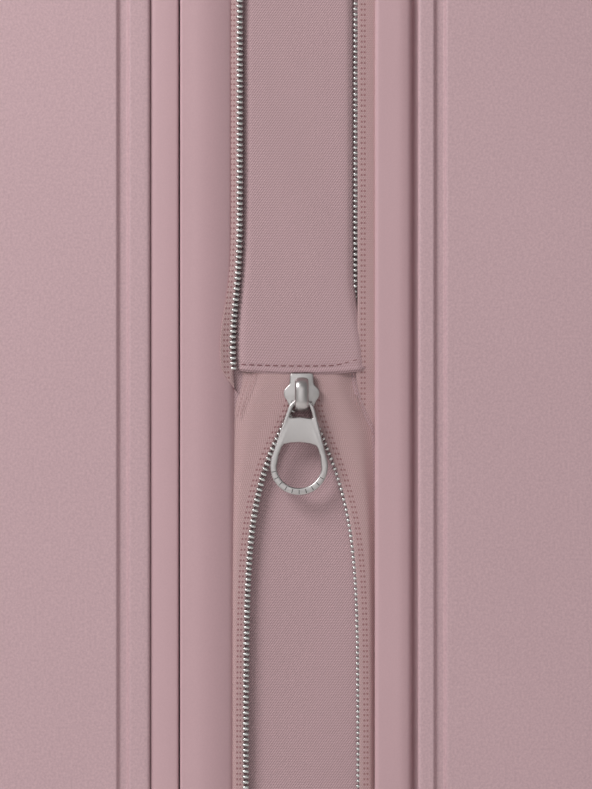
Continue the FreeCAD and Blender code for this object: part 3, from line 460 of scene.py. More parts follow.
def half_shell(name, y_edge, y_face, edge_round, groove_middle):
    """One moulded half: a ring grid for the walls and two face grids, merged at their edges."""
    way = np.sign(y_face - y_edge)
    deep = abs(y_face - y_edge)
    side = np.concatenate([np.linspace(LIP, groove_middle - 4, 4),
                           np.linspace(groove_middle - 3.5, groove_middle + 3.5, 29),
                           np.linspace(groove_middle + 4, deep - edge_round, 5)])
    wall = np.stack([groove(side, groove_middle, GROOVE_WIDTH, GROOVE_DEEP, 1.5), side], -1)
    lip = arc_points((LIP, LIP), LIP, 270, 180, 5)[:-1]
    turn = arc_points((edge_round, deep - edge_round), edge_round, 180, 90, 17)[1:]
    outside = np.concatenate([lip, wall, turn])
    inner_turn = arc_points((edge_round, deep - edge_round), edge_round - WALL, 90, 180, 9)
    inside = np.concatenate([inner_turn, [(WALL, 20.0), (WALL, 0.0)]])
    half_x = HALF_W - edge_round
    half_z = HALF_H - edge_round
    corner = CORNER - edge_round
    columns = np.linspace(-1, 1, 261)
    arcs = np.radians(np.linspace(0, 90, 13))
    rows_top = half_z - corner + corner * np.sin(arcs)
    width_top = half_x - corner + corner * np.cos(arcs)
    straight = np.linspace(-(half_z - corner), half_z - corner, 41)[1:-1]
    rows = np.concatenate([-rows_top[::-1], straight, rows_top])
    widths = np.concatenate([width_top[::-1], np.full(39, half_x), width_top])
    x = columns[None, :] * widths[:, None]
    z = np.broadcast_to(rows[:, None] + Z_MID, x.shape)
    out_y = y_face + way * rib_height(x, z)
    in_y = np.full_like(x, y_face - way * WALL)
    # the walls' ring has one station for each point of the face's border
    n_rows, n_cols = x.shape
    border = border_of(n_rows, n_cols)
    bx, bz = x[border[:, 0], border[:, 1]], z[border[:, 0], border[:, 1]]
    normal = outline_normal(bx, bz - Z_MID, half_x, half_z, corner)
    base = np.stack([bx, bz], -1) + normal * edge_round

    def walls(profile):
        flat = base[:, None, :] - normal[:, None, :] * profile[None, :, 0, None]
        y = np.broadcast_to(y_edge + way * profile[None, :, 1], flat.shape[:2])
        return np.stack([flat[..., 0], y, flat[..., 1]], -1)

    grid = np.concatenate([walls(outside), walls(inside)], axis=1)
    n_out, n_in = len(outside), len(inside)
    faces = []
    quads = grid_faces(len(base), n_out, wrap_rows=True)
    stride = n_out + n_in
    quads = quads // n_out * stride + quads % n_out
    faces.append(quads)
    quads = grid_faces(len(base), n_in, wrap_rows=True)
    faces.append(quads // n_in * stride + quads % n_in + n_out)
    k = np.arange(len(base))
    nxt = (k + 1) % len(base)
    faces.append(np.stack([k * stride + stride - 1, k * stride, nxt * stride,
                           nxt * stride + stride - 1], -1))
    points = [grid.reshape(-1, 3)]
    first = len(points[0])
    top = np.stack([x, out_y, z], -1).reshape(-1, 3)
    under = np.stack([x, in_y, z], -1).reshape(-1, 3)
    points += [top, under]
    lids = grid_faces(n_rows, n_cols, first=first)
    floor = grid_faces(n_rows, n_cols, first=first + len(top))
    faces += [lids[:, ::-1], floor]
    faces = np.concatenate(faces)
    if way > 0:
        faces = faces[:, ::-1]
    thing = mesh_object(name, np.concatenate(points), faces)
    weld(thing)
    return thing


def outline_normal(x, z, half_x, half_z, corner):
    """Outward direction at points of a rounded rectangle's outline."""
    dx = np.maximum(np.abs(x) - (half_x - corner), 0) * np.sign(x)
    dz = np.maximum(np.abs(z) - (half_z - corner), 0) * np.sign(z)
    flat_x = (np.abs(z) <= half_z - corner + 1e-6) & (np.abs(np.abs(x) - half_x) < 1e-6)
    flat_z = (np.abs(x) <= half_x - corner + 1e-6) & (np.abs(np.abs(z) - half_z) < 1e-6)
    dx, dz = np.where(flat_x, np.sign(x), dx), np.where(flat_x, 0, dz)
    dx, dz = np.where(flat_z, 0, dx), np.where(flat_z, np.sign(z), dz)
    length = np.hypot(dx, dz)
    return np.stack([dx / length, dz / length], -1)


def weld(thing, gap=0.01, outwards=True, close=False):
    """Merges points that lie together, closes open ends if asked, and turns faces outwards."""
    work = bmesh.new()
    work.from_mesh(thing.data)
    bmesh.ops.remove_doubles(work, verts=work.verts, dist=gap * MM)
    if close:
        bmesh.ops.holes_fill(work, edges=work.edges, sides=0)
    if outwards:
        bmesh.ops.recalc_face_normals(work, faces=work.faces)
    work.to_mesh(thing.data)
    work.free()
    thing.data.update()
    return thing


# %% [markdown]
# The lid's edge is rounded by 30 mm and the rear's by 20 mm.  In each half the groove lies at
# its own distance from the open edge.

# %% The lid's and the rear's skins
lid_skin = half_shell("lid_skin", Y_LID, Y_FACE, 30.0, 9.4)
settle(lid_skin, polycarbonate, "shell", "lid", "lid_shell")
rear_skin = half_shell("rear_skin", Y_SHELL, Y_BACK, 20.0, 7.9)
settle(rear_skin, polycarbonate, "shell", "rear_case", "rear_shell")
print("shell faces:", len(lid_skin.data.polygons), len(rear_skin.data.polygons))

# %% [markdown]
# Three rims run between the shells.  The lid's rim is a narrow rounded strip, the middle rim
# is a wide cushion-shaped moulding that falls away towards the zipper, and the rear rim is
# nearly flat.  Each is a closed section carried round the outline, and each one reaches
# inside its own shell with a tongue.

# %% The rims
SEAM_CLOSE = 0.3


def middle_rim_inset(y):
    """How deep the middle rim's surface lies: a shallow crown near the seam, then a fall.

    It is flat for 5 mm, then a parabola, plus a steeper one over the last 2 mm."""
    t = np.asarray(y, float) - Y_MID + SEAM_CLOSE
    crown = 0.8 + 0.02 * np.maximum(t - 5.0, 0) ** 2
    fall = 0.25 * np.maximum(t - 17.0, 0) ** 2
    start = 0.5 * np.clip(1 - t / 0.55, 0, 1) ** 2
    return crown + fall + start


RIM_DEEP = 10.5
MID_VISIBLE_END = Y_GUSSET + 1.1
y = np.linspace(Y_MID - SEAM_CLOSE, MID_VISIBLE_END, 41)
top = np.stack([middle_rim_inset(y), y], -1)
under = [(RIM_DEEP, MID_VISIBLE_END), (RIM_DEEP, Y_MID)]
mid_piece = ring("middle_rim", np.concatenate([top, under]))
settle(mid_piece, rim_plastic, "rim", "mid_frame", "mid_rim")

t = np.linspace(0, 1, 25)
y = Y_LID + 0.12 + t * (Y_SEAM_LID + SEAM_CLOSE - Y_LID - 0.12)
crown = 0.9 + 0.3 * (2 * t - 1) ** 2 + 0.5 * np.clip(1 - t / 0.2, 0, 1) ** 2
crown = crown + 0.5 * np.clip((t - 0.94) / 0.06, 0, 1) ** 2
strip_top = np.stack([crown, y], -1)
lid_section = np.concatenate([[(2.9, Y_LID - 12), (2.9, Y_LID + 0.1)], strip_top,
                              [(RIM_DEEP, Y_SEAM_LID), (RIM_DEEP, Y_LID), (5.7, Y_LID),
                               (5.7, Y_LID - 12)]])
lid_rim_piece = ring("lid_rim_strip", lid_section)
settle(lid_rim_piece, rim_plastic, "rim", "lid", "lid_rim")

t = np.linspace(0, 1, 25)
REAR_RIM_END = rear_rim_high[1] - 13.7
y = Y_REAR + t * (REAR_RIM_END - Y_REAR)
face = 0.9 + 0.3 * t + 0.9 * np.clip(1 - t / 0.1, 0, 1) ** 2
face = face + 1.3 * np.clip((t - 0.62) / 0.38, 0, 1) ** 2
face = face + 1.2 * np.clip((t - 0.88) / 0.12, 0, 1) ** 2
TONGUE_END = REAR_RIM_END + 13.6
rear_section = np.concatenate([
    np.stack([face, y], -1),
    [(5.2, REAR_RIM_END + 0.1), (5.2, Y_SHELL + 0.3), (3.1, Y_SHELL + 0.6), (3.1, TONGUE_END),
     (5.7, TONGUE_END), (5.7, REAR_RIM_END), (RIM_DEEP, REAR_RIM_END), (RIM_DEEP, Y_REAR)]])
rear_rim_piece = ring("rear_rim_strip", rear_section)
settle(rear_rim_piece, rim_plastic, "rim", "rear_case", "rear_rim")
print("rear rim ends at", round(REAR_RIM_END, 2), "shell begins at", round(Y_SHELL, 2))

# %% [markdown]
# The gusset's zipper is the busiest part.  Its two chains run far apart round the case and
# come together at the slider, like the two sides of an upturned V.  Each chain's line is
# written as its far distance plus a bell that is 1 at the slider and dies away below it.

# %% Lines of the two chains
APEX = 4.5


def bell(d, reach, power):
    """1 at the slider, falling to nearly 0 in about 60 mm: exp(-(x / reach) ** power)."""
    x = np.maximum(np.asarray(d, float) - APEX, 0)
    return np.exp(-((x / reach) ** power))


def front_line(d):
    """Depth y of the front chain at distances below the slider, round to just above it."""
    d = np.asarray(d, float)
    above = AROUND - d
    far = -21.1 - 2.2 * smoothstep(d / AROUND)
    hook = -2.4 * np.exp(-(((above - 17) / 22) ** 2))
    return GUSSET_MIDDLE + far + (-4.6 - far) * bell(d, 24.0, 1.2) + hook


def rear_line(d):
    """Depth y of the rear chain."""
    d = np.asarray(d, float)
    far = 18.6 - 1.0 * smoothstep(d / AROUND)
    return GUSSET_MIDDLE + far + (2.6 - far) * bell(d, 28.7, 1.36)


def closing_line(line, d):
    """A chain's line carried on above the slider's foot, where the two meet."""
    d = np.asarray(d, float)
    meet = GUSSET_MIDDLE - 1.6
    closing = meet + (line(APEX) - meet) * smoothstep((d + 4) / (APEX + 4))
    return np.where(d < APEX, closing, line(d))


def strip(name, distance, across, y_of, inset_of, thickness, uv_of=None):
    """A cloth strip with two faces: a grid of distance x across, and the same grid sunk by
    its thickness, joined along both long edges.

    y_of and inset_of take a distance and a share across, from 0 to 1."""
    d, a = np.meshgrid(distance, across, indexing="ij")
    y, inset = y_of(d, a), inset_of(d, a)
    top = place(d, inset, y)
    below = place(d, inset + thickness, y)
    points = np.concatenate([top, below[:, ::-1]], axis=1)
    if uv_of is None:
        uv = np.stack([y - GUSSET_MIDDLE, d], -1)
    else:
        uv = np.stack(uv_of(d, a), -1)
    uv = np.concatenate([uv, uv[:, ::-1]], axis=1)
    rows, columns = points.shape[:2]
    faces = grid_faces(rows, columns, False, True)
    if y[0, 0] < y[0, -1]:
        faces = faces[:, ::-1]
    thing = mesh_object(name, points.reshape(-1, 3), faces)
    layer = thing.data.uv_layers.new(name="UVMap")
    layer.data.foreach_set("uv", uv.reshape(-1, 2)[faces.reshape(-1)].ravel())
    return thing


print("chains lie", front_line(APEX) - rear_line(APEX), "mm apart at the slider's foot")

# %% [markdown]
# The gusset is a polyester twill: its threads step sideways from row to row, so the cloth
# shows fine slanted ribs.  They are bands on the cloth's own UV, which is in millimetres,
# crossed by a second set of bands that breaks each rib into short dashes.

# %% Twill cloth and zipper tape
# a wave texture of scale 1 has a period of 2 pi / 20
WAVE_PERIOD = 0.31416


def woven(name, base, light, dark, rib_mm, rib_turn, dash_mm, roughness=0.85, herringbone=0.0,
          holes=(), hole_painted_shade="#7f5054"):
    """A woven cloth.  holes lists the distances across at which a row of needle holes runs, each
    darkened as painted shade.
    """
    made, tree, shader = material(name, base, roughness, Sheen_Weight=0.15, Sheen_Roughness=0.5)
    uv = add(tree, "ShaderNodeTexCoord").outputs["UV"]
    where = uv
    if herringbone:
        parts = add(tree, "ShaderNodeSeparateXYZ", Vector=uv)
        fold = add(tree, "ShaderNodeMath", {"operation": "PINGPONG"}, in0=parts.outputs["X"],
                   in1=herringbone)
        where = add(tree, "ShaderNodeCombineXYZ", X=fold.outputs[0],
                    Y=parts.outputs["Y"]).outputs[0]
    turned = add(tree, "ShaderNodeMapping", Vector=where, Rotation=(0, 0, math.radians(rib_turn)))
    ribs = add(tree, "ShaderNodeTexWave", Vector=turned.outputs[0], Scale=WAVE_PERIOD / rib_mm,
               Distortion=0.6, Detail=2.0, Detail_Scale=0.8)
    crossed = add(tree, "ShaderNodeMapping", Vector=where, Rotation=(0, 0, math.radians(90)))
    dashes = add(tree, "ShaderNodeTexWave", Vector=crossed.outputs[0], Scale=WAVE_PERIOD / dash_mm,
                 Distortion=1.0, Detail=1.0)
    weave = add(tree, "ShaderNodeMath", {"operation": "MULTIPLY_ADD"}, in0=dashes.outputs["Fac"],
                in1=0.35, in2=ribs.outputs["Fac"])
    fuzz = add(tree, "ShaderNodeTexNoise", Vector=uv, Scale=1.6, Detail=3.0, Roughness=0.7)
    tone = add(tree, "ShaderNodeMath", {"operation": "MULTIPLY_ADD"}, in0=fuzz.outputs["Fac"],
               in1=0.7, in2=weave.outputs[0])
    share = add(tree, "ShaderNodeMapRange", Value=tone.outputs[0], From_Min=0.35, From_Max=1.7)
    shade = mix(tree, share.outputs[0], dark, light)
    # Needle holes are painted shade: a darker colour is mixed in at each hole for the shade inside
    # it.
    if holes:
        parts = add(tree, "ShaderNodeSeparateXYZ", Vector=uv)
        along = add(tree, "ShaderNodeMath", {"operation": "PINGPONG"}, in0=parts.outputs["Y"],
                    in1=PITCH / 2)
        near = None
        for at in holes:
            off = add(tree, "ShaderNodeMath", {"operation": "SUBTRACT"},
                      in0=parts.outputs["X"], in1=at)
            pair = add(tree, "ShaderNodeCombineXYZ", X=off.outputs[0], Y=along.outputs[0])
            far = add(tree, "ShaderNodeVectorMath", {"operation": "LENGTH"}, in0=pair.outputs[0])
            near = far.outputs["Value"] if near is None else add(
                tree, "ShaderNodeMath", {"operation": "MINIMUM"}, in0=near,
                in1=far.outputs["Value"]).outputs[0]
        hole = add(tree, "ShaderNodeMapRange", Value=near, From_Min=0.22, From_Max=0.5,
                   To_Min=0.85, To_Max=0.0)
        shade = mix(tree, hole.outputs[0], shade, hole_painted_shade)
    tree.links.new(shade, shader.inputs["Base Color"])
    bump(tree, shader, weave.outputs[0], 0.10, 0.7)
    return made


PITCH = 1.87
twill = woven("polyester_twill", "#b18f93", "#bf9fa3", "#94777b", 0.72, -35, 0.9)
tape_cloth = woven("zipper_tape_twill", "#b09090", "#b99a9a", "#a08081", 0.62, -32, 0.8,
                   herringbone=7.5, holes=(1.9, 3.0))
print("cloth materials are ready")

# %% [markdown]
# All the soft parts of the gusset lie between the two halves of the case: the cloth
# follows the middle rim on its front edge and the rear rim on its back edge.


def soft(thing, look, slot_name, *nodes):
    """Finishes a soft piece that crosses the expansion joint."""
    dress(thing, look, slot_name)
    if nodes:
        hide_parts(*nodes)
    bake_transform(thing)
    return thing


def gusset_inset(d, a):
    """The cloth hangs a little between its edges, with slow waves along the case."""
    wave = 0.22 * np.sin(d / 41.0 + 2.2 * a) + 0.12 * np.sin(d / 17.0 + 5 * a)
    return 5.5 + 0.5 * np.sin(math.pi * a) + wave * np.sin(math.pi * a)


def gusset_y(d, a):
    return Y_GUSSET - 0.6 + (Y_REAR - Y_GUSSET + 1.2) * a


around = np.linspace(0, AROUND, 700)
cloth = strip("gusset_cloth", around, np.linspace(0, 1, 29), gusset_y, gusset_inset, 0.9)
weld(cloth, outwards=False)
soft(cloth, twill, "cloth", "gusset")
print("gusset cloth faces:", len(cloth.data.polygons))

# %% [markdown]
# A second layer of the same twill lies over the gusset above the slider.  Its lower end is
# turned under and sewn, which makes the hem that covers the chains' ends.  The layer sinks
# slowly until it passes under the gusset, far from the hem.

# %% The overlapping layer and its hem
HEM = 8.6
LAYER_LENGTH = 205.0
LAYER_WIDTH = 40.0


def hem_drop(share):
    """The hem's edge sags by about 1.5 mm in its middle, where the slider lies."""
    return -1.5 * np.sin(math.pi * np.clip(share, 0, 1)) ** 0.8


def layer_y(up, a):
    left = np.minimum(front_line(AROUND - up) + 1.25, GUSSET_MIDDLE - 22.05)
    left = left + 0.9 * smoothstep((13 - up) / 6)
    right = GUSSET_MIDDLE + 16.7 + 4.3 * smoothstep((44 - up) / 34)
    return left + (right - left) * a


def layer_inset(up, a):
    edge = np.minimum(a, 1 - a) * LAYER_WIDTH
    rest = 2.75 + 1.2 * smoothstep((up - 20) / 60) + 2.6 * smoothstep((up - 120) / 80)
    wave = 0.16 * np.sin(up / 19.0 + 3 * a) + 0.12 * np.sin(up / 8.3 + 6 * a)
    return rest + 1.3 * np.exp(-((edge / 1.5) ** 2)) + wave * np.sin(math.pi * a)


def hemmed(up, a):
    """Height above the slider's middle with the hem's sag, which dies away upwards."""
    return up + hem_drop(a) * np.exp(-((up - HEM) / 9.0))


up = np.concatenate([HEM + 0.8 * np.linspace(0, 1, 6) ** 1.5, np.linspace(HEM + 1.2, 60, 70),
                     np.linspace(62, LAYER_LENGTH, 60)])
share = np.linspace(0, 1, 49)
U, A = np.meshgrid(up, share, indexing="ij")
rounding = 0.7 * np.sqrt(np.clip(1 - (np.clip(U - HEM, 0, 0.8) / 0.8), 0, 1))
sewn = 0.35 * np.exp(-(((U - HEM - 2.2) / 0.5) ** 2))
sewn = sewn - 0.25 * np.exp(-(((U - HEM - 1.0) / 0.8) ** 2))
inset = layer_inset(U, A) + rounding + sewn
Y = layer_y(U, A)
D = AROUND - hemmed(U, A)
top = place(D, inset, Y)
below = place(D, layer_inset(U, A) + 1.0 + 0.2 * (U > HEM + 1), Y)
points = np.concatenate([top, below[:, ::-1]], axis=1)
uv = np.stack([Y - GUSSET_MIDDLE, -U], -1)
uv = np.concatenate([uv, uv[:, ::-1]], axis=1)
layer_cloth = grid_object("hemmed_layer", points, False, True, uv=uv, flip=False)
weld(layer_cloth, 0.002, close=True)
soft(layer_cloth, twill, "cloth")
print("gusset cloth and its hemmed layer are made")

# %% [markdown]
# A zipper's tape is as wide as the slider's body on each side of the chain.  Below the
# slider the two tapes spread with the chains and slip under the rims.  Above it, their free
# ends come down from the top and are caught under the hem.

# %% The zipper's tapes
TAPE_INSET = HALF_W - tape_high[0]


def tape(name, line, outer, distance, level, inner_gap):
    """A tape from just under its chain to its outer edge."""
    across = np.linspace(0, 1, 13)

    def y_of(d, a):
        near = closing_line(line, d)
        side = np.sign(outer(d) - near)
        near = near + side * inner_gap
        return near + (outer(d) - near) * a

    def uv_of(d, a):
        return np.abs(y_of(d, a) - closing_line(line, d)), d

    return strip(name, distance, across, y_of, level, 0.55, uv_of)


def front_outer(d):
    """The lower tape's outer edge: it slants in under the hem and then hides below the rim."""
    d = np.asarray(d, float)
    return Y_GUSSET - 0.9 + 3.1 * smoothstep((6 - d) / 12)


def rear_outer(d):
    d = np.asarray(d, float)
    return GUSSET_MIDDLE + 17.5 + 7.1 * np.clip((d + 8.1) / 20.1, 0, 1.02) ** 1.8


def lower_level(d, a):
    """Flat near the slider, and a gentle roll elsewhere."""
    roll = 0.25 * np.sin(d / 23.0) * smoothstep((d - 30) / 60)
    return TAPE_INSET + 0.5 * a ** 2 + roll * a * (1 - a) + 2.0 * smoothstep((a - 0.6) / 0.4)


lower = np.concatenate([np.linspace(-12, 80, 150), np.linspace(81, AROUND - 232, 420)])
front_low = tape("front_tape", front_line, front_outer, lower, lower_level, 0.5)
lower = np.concatenate([np.linspace(-12, 80, 150), np.linspace(81, AROUND - 232, 420)])
rear_low = tape("rear_tape", rear_line, rear_outer, lower, lower_level, 0.1)


# %% [markdown]
# Above the slider the tapes' free ends lie over the rims.  The front one flares out and then
# turns in under the hem; the rear one runs down beside the chain and ends in a slanted point.

# %% The tapes' upper ends


def upper_front_outer(d):
    """The upper tape's end flares out over the rim and then turns in under the hem."""
    up = AROUND - np.asarray(d, float)
    flare = -3.9 * np.exp(-(((up - 16) / 20) ** 2))
    tuck = 6.4 * smoothstep((11 - up) / 16)
    return GUSSET_MIDDLE - 26.3 + flare + tuck


def upper_front_level(d, a):
    """A straight line from the chain to the tape's edge, which rests on the rim."""
    up = AROUND - d
    y = front_line(d) + (upper_front_outer(d) - front_line(d)) * a
    edge = middle_rim_inset(np.clip(upper_front_outer(d), Y_MID, MID_VISIBLE_END)) - 0.4
    inner = TAPE_INSET - 0.2
    level = inner + (np.minimum(edge, inner + 1.5) - inner) * a
    sunk = 1.6 * smoothstep((12 - up) / 12) * smoothstep((y - MID_VISIBLE_END) / 2.5 + 0.6)
    far = lower_level(d, a)
    level = level + sunk
    return level + (far - level) * smoothstep((up - 190) / 40)


def upper_front_edge(d):
    """Over the rim near the slider, and back under it far above."""
    up = AROUND - np.asarray(d, float)
    near = upper_front_outer(d)
    return near + (front_outer(np.full_like(near, 100.0)) - near) * smoothstep((up - 190) / 40)


UP_TAPE = 232.0
upper = np.concatenate([np.linspace(AROUND - UP_TAPE - 1, AROUND - 62, 90),
                        np.linspace(AROUND - 61, AROUND - 1.0, 110)])
front_up = tape("front_tape_end", front_line, upper_front_edge, upper, upper_front_level, 0.3)


def upper_rear_inner(d):
    """From the chain down to the hem, then along the lower tape's edge until it is a point."""
    past = np.asarray(d, float) - AROUND
    beside_chain = rear_line(d) + 0.5
    return beside_chain + (rear_outer(past) - beside_chain) * smoothstep((past + 10.5) / 3.0)


def upper_rear_y(d, a):
    inner = upper_rear_inner(d)
    return inner + np.maximum(Y_REAR + 0.5 - inner, 0.05) * a


def upper_rear_level(d, a):
    """Flat beside the chain, sunk under the lower tape past the hem."""
    up = AROUND - np.asarray(d, float)
    level = TAPE_INSET + 0.5 * a ** 2 + 1.3 * smoothstep((14 - up) / 14)
    return level + (lower_level(d, a) - level) * smoothstep((up - 190) / 40)


def upper_rear_uv(d, a):
    return np.abs(upper_rear_y(d, a) - rear_line(d)), d


upper = np.concatenate([np.linspace(AROUND - UP_TAPE - 1, AROUND - 62, 90),
                        np.linspace(AROUND - 61, AROUND + 11.5, 140)])
rear_up = strip("rear_tape_end", upper, np.linspace(0, 1, 13), upper_rear_y, upper_rear_level,
                0.55, upper_rear_uv)
zip_tapes = weld(join("zip_tapes", [front_low, rear_low, front_up, rear_up]), 0.001, close=True)
soft(zip_tapes, tape_cloth, "tape", "front_zip_tape", "rear_zip_tape")
print("tape length each side", round(AROUND), "mm")

# %% [markdown]
# The chains are rows of plated metal teeth, 1.87 mm apart.  One tooth is a small rounded
# block; thousands of copies are placed by one array sum, each turned to the line of its
# chain.  A copy has only 42 faces, so both chains together stay light.

# %% Teeth


def tooth_shape(across, along, out):
    """A rounded block: a sphere's grid with each coordinate pushed towards the box."""
    theta = np.linspace(-math.pi / 2, math.pi / 2, 6)
    phi = np.linspace(0, 2 * math.pi, 8, endpoint=False)
    t, p = np.meshgrid(theta, phi, indexing="ij")

    def squared(v):
        return np.sign(v) * np.abs(v) ** 0.55

    points = np.stack([squared(np.sin(t)) * across / 2,
                       squared(np.cos(t) * np.cos(p)) * along / 2,
                       squared(np.cos(t) * np.sin(p)) * out / 2], -1)
    return points.reshape(-1, 3), grid_faces(6, 8, False, True)


def repeated(name, shape, faces, centre, first, second, third):
    """Copies of a small shape: each point is its centre plus the shape's own three
    coordinates times that copy's three directions."""
    points = (centre[:, None] + shape[None, :, 0, None] * first[:, None]
              + shape[None, :, 1, None] * second[:, None]
              + shape[None, :, 2, None] * third[:, None])
    every = faces[None] + (np.arange(len(centre)) * len(shape))[:, None, None]
    return weld(mesh_object(name, points.reshape(-1, 3), every.reshape(-1, 4)), 0.001)


def chain(name, line, begin, end, inward, level, width=2.6):
    """Teeth along a chain's line, each with its own frame: along, outwards and across."""
    fine = np.linspace(begin, end, 24000)
    path = place(fine, level(fine), line(fine))
    run = np.concatenate([[0], np.cumsum(np.linalg.norm(np.diff(path, axis=0), axis=1))])
    marks = np.arange(0, run[-1], PITCH)
    d = np.interp(marks, run, fine)
    centre = place(d, level(d), line(d))
    ahead = place(d + 0.5, level(d + 0.5), line(d + 0.5))
    along = ahead - centre
    along /= np.linalg.norm(along, axis=1, keepdims=True)
    _, flat = outline_at(d)
    out = np.stack([flat[:, 0], np.zeros(len(d)), flat[:, 1]], -1)
    across = np.cross(along, out)
    across *= np.sign(across[:, 1:2]) * inward
    shape, faces = tooth_shape(width, 1.12, 1.7)
    head = np.where(shape[:, 0] > 0, 1.12, 0.9)
    shape = shape * np.stack([np.ones_like(head), head, head], -1)
    return repeated(name, shape, faces, centre, across, along, out)


def front_level(d):
    above = AROUND - np.asarray(d, float)
    return TAPE_INSET - 0.35 + 1.6 * smoothstep((14 - above) / 10)


def rear_level(d):
    above = AROUND - np.asarray(d, float)
    return TAPE_INSET + 0.75 + 1.5 * smoothstep((52 - above) / 26)


plated, tree, shader = material("nickel_plated_teeth", "#c9c8c6", 0.26, 1.0)
front_teeth = chain("front_teeth", front_line, APEX + 1.0, AROUND - 8.5, 1, front_level)
soft(front_teeth, plated, "zip_metal", "front_zip_teeth")
rear_teeth = chain("rear_teeth", rear_line, APEX + 0.2, AROUND - 20, -1, rear_level, 2.2)
soft(rear_teeth, plated, "zip_metal", "rear_zip_teeth")
print("teeth faces", len(front_teeth.data.polygons) + len(rear_teeth.data.polygons))

# %% [markdown]
# The slider and its puller are cast zinc with a satin nickel finish.  Each flat piece is
# drawn as a filled 2D curve, whose bevel gives the rounded edge, and is then turned to a
# mesh and stood up on the case's side.

# %% Flat cast pieces
SLIDER_LOW, SLIDER_HIGH = extent("zip_slider")
PULLER_LOW, PULLER_HIGH = extent("zip_puller")
SLIDER_Y = (SLIDER_LOW[1] + SLIDER_HIGH[1]) / 2
PULLER_X = (PULLER_LOW[0] + PULLER_HIGH[0]) / 2
PULLER_THICK = PULLER_HIGH[0] - PULLER_LOW[0]
PLATE_X = SLIDER_HIGH[0] - 4.4


def flat_piece(name, outlines, thickness, bevel, x):
    """A plate from closed (y, z) outlines, the first outside and the rest holes.

    y counts from the slider's middle line and z from the case's middle height."""
    line = bpy.data.curves.new(name, "CURVE")
    line.dimensions = "2D"
    line.fill_mode = "BOTH"
    line.extrude = (thickness / 2 - bevel) * MM
    line.bevel_depth = bevel * MM
    line.offset = -bevel * MM
    line.bevel_resolution = 3
    for outline in outlines:
        outline = np.asarray(outline, float)
        spline = line.splines.new("POLY")
        spline.points.add(len(outline) - 1)
        blank = np.zeros((len(outline), 1))
        flat = np.concatenate([outline * MM, blank, blank + 1], 1)
        spline.points.foreach_set("co", flat.ravel())
        spline.use_cyclic_u = True
    drawn = bpy.data.objects.new(name, line)
    scene.collection.objects.link(drawn)
    mesh = bpy.data.meshes.new_from_object(drawn)
    bpy.data.objects.remove(drawn)
    co = points_of(mesh)
    stood = np.stack([co[:, 2] + x * MM, co[:, 0] + SLIDER_Y * MM, co[:, 1] + Z_MID * MM], -1)
    set_points(mesh, stood)
    mesh.polygons.foreach_set("use_smooth", np.full(len(mesh.polygons), True))
    thing = bpy.data.objects.new(name, mesh)
    scene.collection.objects.link(thing)
    weld(thing, 0.001)
    return thing


# %% [markdown]
# Outlines are drawn from few points.  Corner cutting rounds them, half an outline is mirrored
# to a whole one, and the puller's drop shape is two arcs with their common tangents.

# %% Outline tools


def smooth_outline(points, rounds=3):
    """Corner cutting: each corner is replaced by two points a quarter along its sides."""
    points = np.asarray(points, float)
    for _ in range(rounds):
        after = np.roll(points, -1, axis=0)
        points = np.stack([0.75 * points + 0.25 * after, 0.25 * points + 0.75 * after], 1)
        points = points.reshape(-1, 2)
    return points


def mirrored(half):
    """A whole outline from its right half, listed from top to bottom."""
    half = np.asarray(half, float)
    left = half[::-1] * [-1, 1]
    return np.concatenate([half, left])


def hull_of_two(top, top_radius, bottom, bottom_radius, count=40):
    """The outline round two circles on one line: two arcs and their common tangents."""
    lean = math.degrees(math.asin((bottom_radius - top_radius) / (top - bottom)))
    upper = arc_points((0, top), top_radius, lean, 180 - lean, count)
    lower = arc_points((0, bottom), bottom_radius, 180 - lean, 360 + lean, count)
    return np.concatenate([upper, lower])


# %% [markdown]
# The puller is one plate with an eye for the slider's crown and a large round hole below it.
# The slider has a top plate, widest near its middle, and a narrower plate under the tape.

# %% Puller and slider plates
RING_Z, RING_R, HOLE_R = -24.85, 10.15, 7.9
puller_outer = hull_of_two(-6.2, 4.9, RING_Z, RING_R)
eye_half = [(1.2, -2.6), (2.6, -3.1), (4.15, -7.6), (3.7, -8.1), (0.5, -7.7)]
eye_hole = smooth_outline(mirrored(eye_half))
ring_top = mirrored([(0.4, -16.5), (3.4, -16.8), (5.6, -17.4), (6.3, -18.3), (7.3, -21.3)])
lower_arc = arc_points((0, RING_Z + 0.2), HOLE_R, -6, -174, 36)
half = len(ring_top) // 2
ring_hole = np.concatenate([ring_top[:half], lower_arc, ring_top[half:]])
puller = flat_piece("zip_puller_plate", [puller_outer, eye_hole, ring_hole], PULLER_THICK, 0.45,
                    PULLER_X)
slider_outline = smooth_outline(mirrored([
    (2.2, 7.7), (4.15, 7.7), (4.15, 4.6), (4.4, 3.6), (5.9, 2.2), (6.35, 1.2), (6.3, -0.3),
    (5.2, -1.9), (4.6, -3.2), (4.3, -4.0), (2.0, -4.1)]), 2)
slider_top = flat_piece("slider_top", [slider_outline], 1.3, 0.4, PLATE_X - 0.65)
slider_under = flat_piece("slider_under", [slider_outline * [0.74, 1]], 1.1, 0.3,
                          SLIDER_LOW[0] + 0.55)


# %% [markdown]
# The crown is a bar that arches over the slider's top plate, and the puller's rod turns under
# it.  The bar is swept along its arch with a section a little squarer than an ellipse.

# %% The slider's crown and the puller's rod
# 1 is an ellipse, and less than 1 is squarer
BAR_POWER = 0.85


